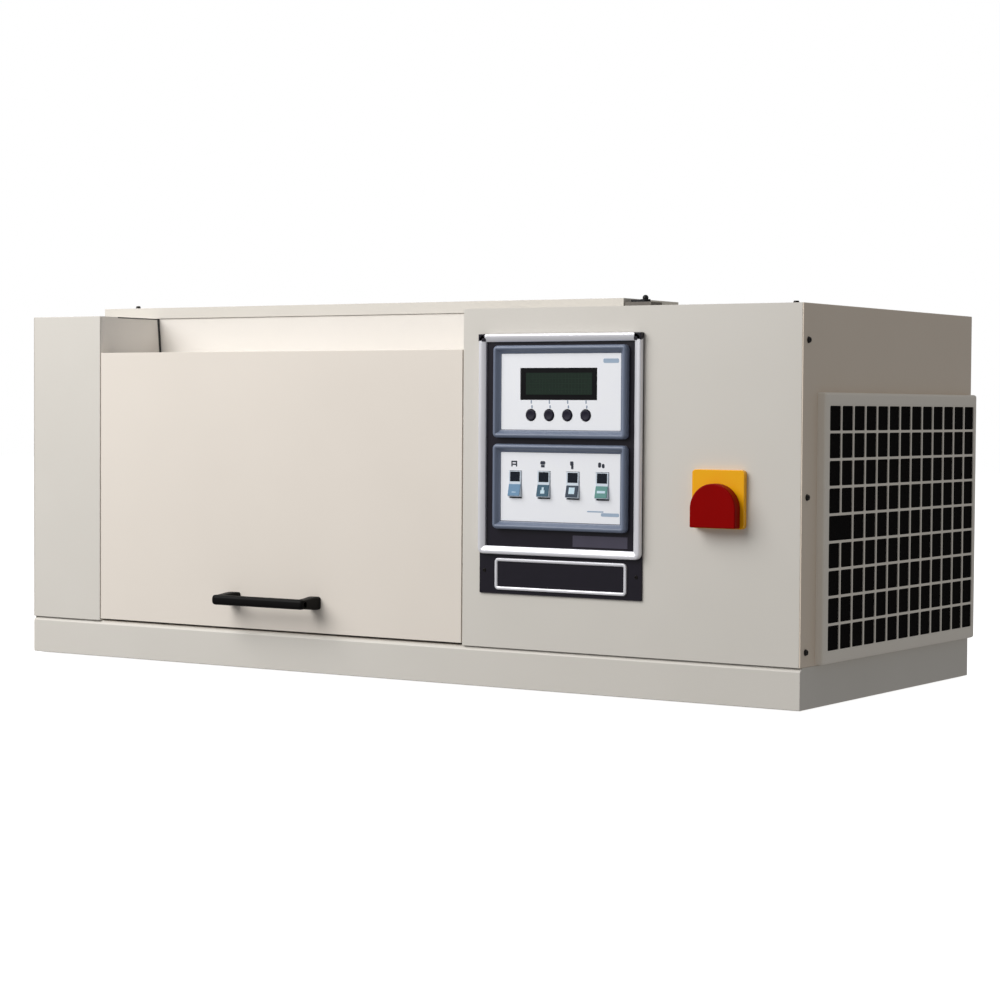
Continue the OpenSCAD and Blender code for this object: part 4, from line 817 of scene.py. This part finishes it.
tree, given = node_tree("lcd_cells", sizes)
grid = add(tree, "GeometryNodeMeshGrid", Vertices_X=given["Across"], Vertices_Y=given["Down"],
           Size_X=given["Span across"], Size_Y=given["Span down"])
size = add(tree, "ShaderNodeCombineXYZ", X=given["Cell wide"], Y=given["Cell tall"],
           Z=given["Cell thick"]).outputs[0]
block = add(tree, "GeometryNodeMeshCube", Size=size)
placed = add(tree, "GeometryNodeInstanceOnPoints", Points=grid.outputs["Mesh"],
             Instance=block.outputs[0])
close_tree(tree, placed.outputs[0], lcd_cell)
cells = run_tree(tree, sizes)
stand = Matrix(((1, 0, 0, sum(window_x) / 2), (0, 0, -1, front_y - (face + cell_proud) * MM),
                (0, 1, 0, sum(window_z) / 2), (0, 0, 0, 1)))
bmesh.ops.transform(cells, matrix=stand, verts=cells.verts)
finish_piece("lcd_character_cells", cells, lcd_cell, "cabinet", ())
print("display window", [round(v / MM, 1) for v in (*window_x, *window_z)])

# %% [markdown]
# ## Round keys
# A silicone key is a dished disc with a rolled edge, turned round its own axis and
# pushed through the film. A lathe section, made once, serves all four; a tick on
# the film leads from the display to each.

# %% Turned parts and the keys
def lathe(section, at, axis, steps=40):
    """A closed solid of revolution; section points are (radius, distance along axis) in mm."""
    made = bmesh.new()
    turn = Vector((0, 0, 1)).rotation_difference(Vector(axis)).to_matrix()
    loops = []
    for radius, along in section:
        if radius == 0:
            loops.append([made.verts.new(at + turn @ Vector((0, 0, along * MM)))])
            continue
        loops.append([made.verts.new(at + turn @ Vector((
            radius * MM * math.cos(math.tau * n / steps),
            radius * MM * math.sin(math.tau * n / steps), along * MM))) for n in range(steps)])
    for first, second in zip(loops, loops[1:]):
        for n in range(steps):
            a, b = first[n % len(first)], first[(n + 1) % len(first)]
            c, d = second[(n + 1) % len(second)], second[n % len(second)]
            made.faces.new([v for k, v in enumerate((a, b, c, d)) if v not in (a, b, c, d)[:k]])
    bmesh.ops.recalc_face_normals(made, faces=made.faces)
    return made

ticks = []
for n in range(1, 5):
    low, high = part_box(f"key_{n}")
    centre = Vector(((low.x + high.x) / 2, front_y, (low.z + high.z) / 2))
    proud, tail = (front_y - low.y) / MM, (front_y - high.y) / MM
    section = [(0, tail), (5.9, tail), (5.9, -0.4), (7.5, -0.4), (7.5, 1.0), (5.9, 1.0),
               (5.9, proud - 0.9), (5.6, proud - 0.3), (5.0, proud), (4.2, proud - 0.05),
               (2.4, proud - 0.35), (0, proud - 0.5)]
    finish_piece(f"dished_key_{n}", lathe(section, centre, (0, -1, 0)), key_rubber, f"key_{n}",
                 [f"key_{n}"])
    gap = (high.z - 1.6 * MM, window_z[0])
    ticks += [mark(centre.x + 0.4 * MM, gap[1] - 2.6 * MM, 1.5, 3.6, 0.4),
              mark(centre.x + 1.3 * MM, gap[0] + 2.8 * MM, 1.7, 3.2, 0.4)]
finish_piece("key_ticks", joined(ticks), print_grey, "cabinet")
print("keys stand", round(proud, 1), "mm out of the wall")

# %% [markdown]
# ## Rocker switches
# A rocker is a shallow V: its upper half is in, its lower half out. The body is
# pale, with a dark cap on the upper half and a coloured lens on the lower one.
# It is drawn in its own upright frame, then tilted by half its throw about its pin.

# %% Rockers, their caps, lenses and marks
joints = {j["name"]: j for j in frame["record"]["behaviour"]["joints"]}
rocker_pale = moulded("pale_polycarbonate", "#DCE6EF", "#D2DDE8", 0.25, 0.8 * MM, 0.03, 0.2)
lenses = [lens_blue, lens_teal, lens_dark, lens_green]
half_tall = 13.75


def tilted(n, bm):
    """From the rocker's own frame (mm, y out of its pin) to its place in the panel."""
    pin = Vector(joints[f"rocker_{n}_tilt"]["pos_m"])
    throw = math.radians(joints[f"rocker_{n}_tilt"]["range_deg"][1])
    place = Matrix.Translation(pin) @ Matrix.Rotation(-throw / 2, 4, "X") @ Matrix.Scale(MM, 4)
    bmesh.ops.transform(bm, matrix=place, verts=bm.verts)
    return bm


def slab(x, z, front, back):
    """A block in the rocker's frame: x and z ranges, and y at its lower and upper edge."""
    made = bmesh.new()
    corners = [made.verts.new((a, y[k], b)) for y in (front, back)
               for k, b in enumerate(z) for a in x]
    for face in ((0, 1, 3, 2), (4, 6, 7, 5), (0, 4, 5, 1), (2, 3, 7, 6), (0, 2, 6, 4),
                 (1, 5, 7, 3)):
        made.faces.new([corners[k] for k in face])
    bmesh.ops.recalc_face_normals(made, faces=made.faces)
    return made


def rocker_body():
    """The V-faced prism."""
    outline = [(-6.5, -half_tall), (-5.2, 0), (-6.5, half_tall), (0, half_tall),
               (5, half_tall * 0.7), (5, -half_tall * 0.7), (0, -half_tall)]
    made = bmesh.new()
    return join_loops(made, [[made.verts.new((x, y, z)) for y, z in outline]
                             for x in (-7.5, 7.5)])


def face_y(z, lift):
    """Depth of the V face at a height, lifted towards the user."""
    return -5.2 - 1.3 * abs(z) / half_tall - lift

cap_x, cap_z, lens_x, lens_z = (-6.2, 6.2), (2.4, 13.0), (-7.4, 7.4), (-13.2, -0.4)
shapes = ([((-2.6, 2.6), (-9.5, -8.7))],
          [((-2.6, 2.6), (-10.0, -6.4)), ((-1.3, 1.3), (-6.4, -3.2))],
          [((-3.6, 3.6), (-9.6, -2.6))],
          [((-5.0, 5.0), (-8.0, -5.4))])


def on_face(x, z, lift, sink):
    """A slab on the V face, from `sink` inside it to `lift` outside."""
    return slab(x, z, [face_y(v, lift) for v in z], [face_y(v, -sink) for v in z])

for n, (lens, marks) in enumerate(zip(lenses, shapes), 1):
    body = f"rocker_{n}"
    finish_piece(body + "_shell", tilted(n, rocker_body()), rocker_pale, body, [body],
                 0.5 * MM)
    finish_piece(body + "_cap", tilted(n, on_face(cap_x, cap_z, 0.3, 0.8)), rocker_navy, body,
                 edge=0.35 * MM)
    finish_piece(body + "_lens", tilted(n, on_face(lens_x, lens_z, 0.35, 0.8)), lens, body,
                 edge=0.45 * MM)
    drawn = joined([on_face(x, z, 0.45, -0.2) for x, z in marks])
    finish_piece(body + "_mark", tilted(n, drawn), mark_light, body, edge=0.1 * MM, steps=1)
softened("rocker_sockets", case_black, 0.2, 1)
print("rockers:", len(lenses))

# %% [markdown]
# ## Blank nameplate and strip label
# Under the instruments a bright rim holds a glossy black field, left blank, and a
# slightly lighter blank label sits at the right of the black strip above it.

# %% Nameplate and strip label
low, high = flat_box("nameplate_rim")
section = [(0, 2), (0, 3.2), (0.4, 3.8), (1.2, 4.0), (2.3, 4.0), (3.1, 3.7), (3.5, 3.0),
           (3.5, 2)]
finish_piece("nameplate_ring", ring(front_place, low, high, 4.5, section), anodised, "cabinet",
             ["nameplate_rim"])
inset, label_wide, label_right, label_drop, label_tall = (
    n * MM for n in (3.4, 67, 17, 4.5, 12))
finish_piece("nameplate_field", plate(front_place, (low[0] + inset, low[1] + inset),
             (high[0] - inset, high[1] - inset), 2, 1.9, 2.5, 0.15), panel_black, "cabinet")
frame_high = flat_box("panel_frame")[1]
bezel_foot = bezel_boxes[0][0].z
label_x, label_z = frame_high[0] - label_right, bezel_foot - label_drop
finish_piece("strip_label", plate(front_place, (label_x - label_wide, label_z - label_tall),
             (label_x, label_z), 0.6, 1.9, 2.3, 0.1), strip_label, "cabinet")
print("nameplate", [round(v / MM, 1) for v in (*low, *high)])

# %% [markdown]
# ## Mains isolator
# The yellow plate is a moulding with generous radii. The knob on it is a broad, low
# arch over the plate's lower part: both are CAD solids with their edges rounded.

# %% Isolator plate and knob
softened("isolator_plate", yellow_abs, 2.6, 4)
softened("isolator_knob", red_abs, 2.2, 5)
softened("isolator_switch", case_black, 0.5)
print("isolator plate", [round(v / MM, 1) for v in flat_box("isolator_plate")[0]])

# %% [markdown]
# ## Door handle
# The bow handle is one nylon moulding. Its bar is a loft of rounded sections along X
# with blunt round ends; its two feet run back to the door and flare as they go.

# %% Lofted handle
def loft(sections):
    """A closed loft; each section is (x, middle y, middle z, depth, height, corner) in mm."""
    made, loops = bmesh.new(), []
    for x, y, z, depth, height, corner in sections:
        points = rounded_loop((y - depth / 2, z - height / 2), (y + depth / 2, z + height / 2),
                              corner, 0, 4)
        loops.append([made.verts.new(Vector((x, a, b)) * MM) for a, b in points])
    return join_loops(made, loops)


def ease(t):
    """Smooth 0 to 1."""
    t = min(max(t, 0), 1)
    return t * t * (3 - 2 * t)

low, high = (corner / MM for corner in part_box("door_handle"))
mid_z, out_y = (low.z + high.z) / 2, low.y
tall, slim, depth = high.z - low.z, 11.5, 9.5
bar_sections = []
for along, pinch in ((0, 4.0), (0.8, 2.0), (2.2, 0.7), (5.0, 0)):
    for x in (low.x + along, high.x - along):
        bar_sections.append((x, out_y + depth / 2 + pinch / 2, mid_z, depth - pinch,
                             slim - pinch, 3.8))
bar_sections.sort()
parts = [loft(bar_sections)]
for x, way in ((low.x, 1), (high.x, -1)):
    foot = []
    for n in range(9):
        t = n / 8
        y = out_y + 4 + (high.y - out_y - 4) * t
        width = 13 + 3 * ease((t - 0.5) * 2)
        height = slim - 1.0 + (tall - slim + 1.0) * ease(t * 1.1)
        foot.append((y, x + way * width / 2, mid_z, width, height - (0.4 if n == 8 else 0), 3.0))
    made = loft(foot)
    swap = Matrix(((0, 1, 0, 0), (1, 0, 0, 0), (0, 0, 1, 0), (0, 0, 0, 1)))
    bmesh.ops.transform(made, matrix=swap, verts=made.verts)
    bmesh.ops.recalc_face_normals(made, faces=made.faces)
    parts.append(made)
finish_piece("bow_handle", joined(parts), handle_nylon, "door", ["door_handle"])
print("handle", round(high.x - low.x, 1), "mm long,", round(high.y - low.y, 1), "mm out")

# %% [markdown]
# ## Lamp cover latch, hinges and screw
# At the cover's right front corner a grey nylon block carries a small black knob.
# The knob is turned: a waist, a rolled rim and a slightly domed top.

# %% Latch, hinges and the cover's screw
softened("cover_latch_block", latch_grey, 0.8, 3)
softened("cover_latch", case_black, 0.5, 2)
softened("cover_hinges", zinc, 0.4)
cover_low, cover_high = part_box("lamp_cover")
screw_at = Vector((cover_low.x + 51 * MM, cover_low.y + 5 * MM, cover_high.z))
place_screws("cover_screw_head", [(screw_at, Vector((0, 0, 1)))], "lamp_cover", (), 3.2, 3.0)
print("cover from", [round(v / MM, 1) for v in cover_low], "to",
      [round(v / MM, 1) for v in cover_high])

# %% [markdown]
# ## Everything else keeps its CAD shape
# The lining, lamp, fans and electrical gear are already the right shape. Simple
# mouldings and folded sheets get rounded edges like the shells; parts with fine
# detail keep their CAD mesh and only get a material.

# %% Rounded inner parts
for node, material, edge in (
        ("chamber_liner", stainless, 0.5), ("specimen_tray", stainless, 0.5),
        ("tray_runners", stainless, 0.4), ("bay_partition", cabinet_coat, 0.5),
        ("power_supply", cast_aluminium, 0.8), ("lamp_control_gear", lamination, 0.8),
        ("switchgear", switch_plastic, 0.8), ("lamp_holders", steatite, 0.8),
        ("fan_frame", handle_nylon, 0.8), ("fan_rotor", case_black, 0.4),
        ("blower_housing", enamelled, 0.5), ("door_seal", seal_and_gap_shade, 1.0),
        ("cable_gland", case_black, 1.0), ("rubber_feet", foot_rubber, 0.6),
        ("chamber_sensors", case_black, 0.4)):
    softened(node, material, edge)
print("inner parts rounded")

# %% [markdown]
# Foam, glass, the blower wheel and the like are right as they come, so their CAD
# meshes stay and only their material slots change.

# %% Materials for the CAD meshes that stay
kept = {"grille_filter_pad": filter_foam, "filter_glass": filter_clear,
        "lamp_reflector": polished, "blower_motor": cast_aluminium,
        "control_board": board_green, "door_hinge_pins": zinc, "blower_wheel": enamelled}
for node, material in kept.items():
    slots = frame["nodes"][node].data.materials
    slots.clear()
    slots.append(material)
print("kept CAD meshes:", sorted(kept))

# %% [markdown]
# ## The xenon lamp
# A long-arc lamp is a clear quartz tube with an electrode at each end and metal
# caps. All three are turned shapes on one axis.

# %% Lamp tube, electrodes and caps
low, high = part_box("xenon_lamp")
start = Vector((low.x, (low.y + high.y) / 2, (low.z + high.z) / 2))
length, cap = (high.x - low.x) / MM, 26.0
tube = lathe([(0, cap - 4), (6, cap - 4), (6, length - cap + 4), (0, length - cap + 4)], start,
             (1, 0, 0))
finish_piece("quartz_tube", tube, quartz, "cabinet", ["xenon_lamp"], 0.8 * MM, 2)
metal = []
for at, way in ((start, 1), (start + Vector((length * MM, 0, 0)), -1)):
    metal.append(lathe([(0, 0), (9, 0), (10, 1), (10, 7), (9.2, 8), (9.2, 10), (10, 11),
                        (10, cap - 2), (8.5, cap), (6.1, cap), (6.1, cap - 3), (0, cap - 3)],
                       at, (way, 0, 0)))
    metal.append(lathe([(0, cap - 3), (1.5, cap - 3), (1.5, cap + 14), (3, cap + 16),
                        (3, cap + 24), (0, cap + 27)], at, (way, 0, 0)))
finish_piece("lamp_caps_and_electrodes", joined(metal), zinc, "cabinet")
print("lamp", round(length, 1), "mm long")

# %% [markdown]
# ## Stage, light and camera
# A white table in a bright, soft studio. The table shines a little, so that it stays
# white, and the cabinet's lights don't see it. The camera sees a white sky, while
# the cabinet gets a much weaker one.

# %% Stage
floor_mesh = bpy.data.meshes.new("floor")
reach, sky_seen, sky_felt = 9, 1.0, 0.27
floor_mesh.from_pydata([(-reach, -reach, 0), (reach, -reach, 0), (reach, reach, 0),
                        (-reach, reach, 0)], [], [(0, 1, 2, 3)])
floor = bpy.data.objects.new("floor", floor_mesh)
bpy.context.scene.collection.objects.link(floor)
table_white = surface("white_table", "#FFFFFF", Roughness=0.8, Emission_Color=(1, 1, 1, 1),
                      Emission_Strength=0.8)[0]
floor_mesh.materials.append(table_white)
floor.visible_diffuse = floor.visible_glossy = False
world = bpy.data.worlds.new("studio")
bpy.context.scene.world = world
world.use_nodes = True
world.node_tree.nodes.clear()
seen = add(world.node_tree, "ShaderNodeLightPath").outputs["Is Camera Ray"]
strength = add(world.node_tree, "ShaderNodeMapRange", Value=seen, To_Min=sky_felt,
               To_Max=sky_seen).outputs["Result"]
sky = add(world.node_tree, "ShaderNodeBackground", Color=(1, 1, 1, 1), Strength=strength)
add(world.node_tree, "ShaderNodeOutputWorld", Surface=sky.outputs[0])
bpy.context.scene.view_settings.view_transform = "Standard"
bpy.context.scene.view_settings.look = "None"
print("stage set")

# %% [markdown]
# One wide key light from the front left keeps the front bright and lets the right
# side fall into shade. A weak one overhead lifts the top.

# %% Lights
def area_light(name, at, towards, size, watts):
    """A soft rectangular light aimed at a point."""
    lamp = bpy.data.lights.new(name, "AREA")
    lamp.shape, lamp.size, lamp.size_y, lamp.energy = "RECTANGLE", size[0], size[1], watts
    obj = bpy.data.objects.new(name, lamp)
    bpy.context.scene.collection.objects.link(obj)
    obj.location = at
    obj.rotation_euler = (Vector(towards) - Vector(at)).to_track_quat("-Z", "Y").to_euler()

area_light("key", (-1.2, -2.0, 1.9), (-0.05, -0.1, 0.25), (2.6, 2.2), 82)
area_light("top", (0.0, 0.3, 2.8), (0, 0, 0.3), (2.6, 1.8), 10)

# %% [markdown]
# The lens is long, so the cabinet keeps almost parallel edges. The camera is turned
# about its line of sight by a third of a degree.

# %% Camera
forward = Vector((-0.5483, 0.8355, -0.0365)).normalized()
right = forward.cross(Vector((0, 0, 1))).normalized()
up = right.cross(forward)
roll, eye = math.radians(0.36), Vector((1.644, -2.472, 0.303))
across = math.cos(roll) * right + math.sin(roll) * up
above = -math.sin(roll) * right + math.cos(roll) * up
lens = bpy.data.cameras.new("lens")
lens.lens, lens.sensor_width, lens.sensor_fit = 90.6, 36, "HORIZONTAL"
lens.clip_start, lens.clip_end = 0.05, 60
camera = bpy.data.objects.new("camera", lens)
bpy.context.scene.collection.objects.link(camera)
turn = Matrix((across, above, -forward)).transposed().to_4x4()
camera.matrix_world = Matrix.Translation(eye) @ turn
bpy.context.scene.camera = camera
print("camera at", [round(v, 3) for v in camera.matrix_world.translation])
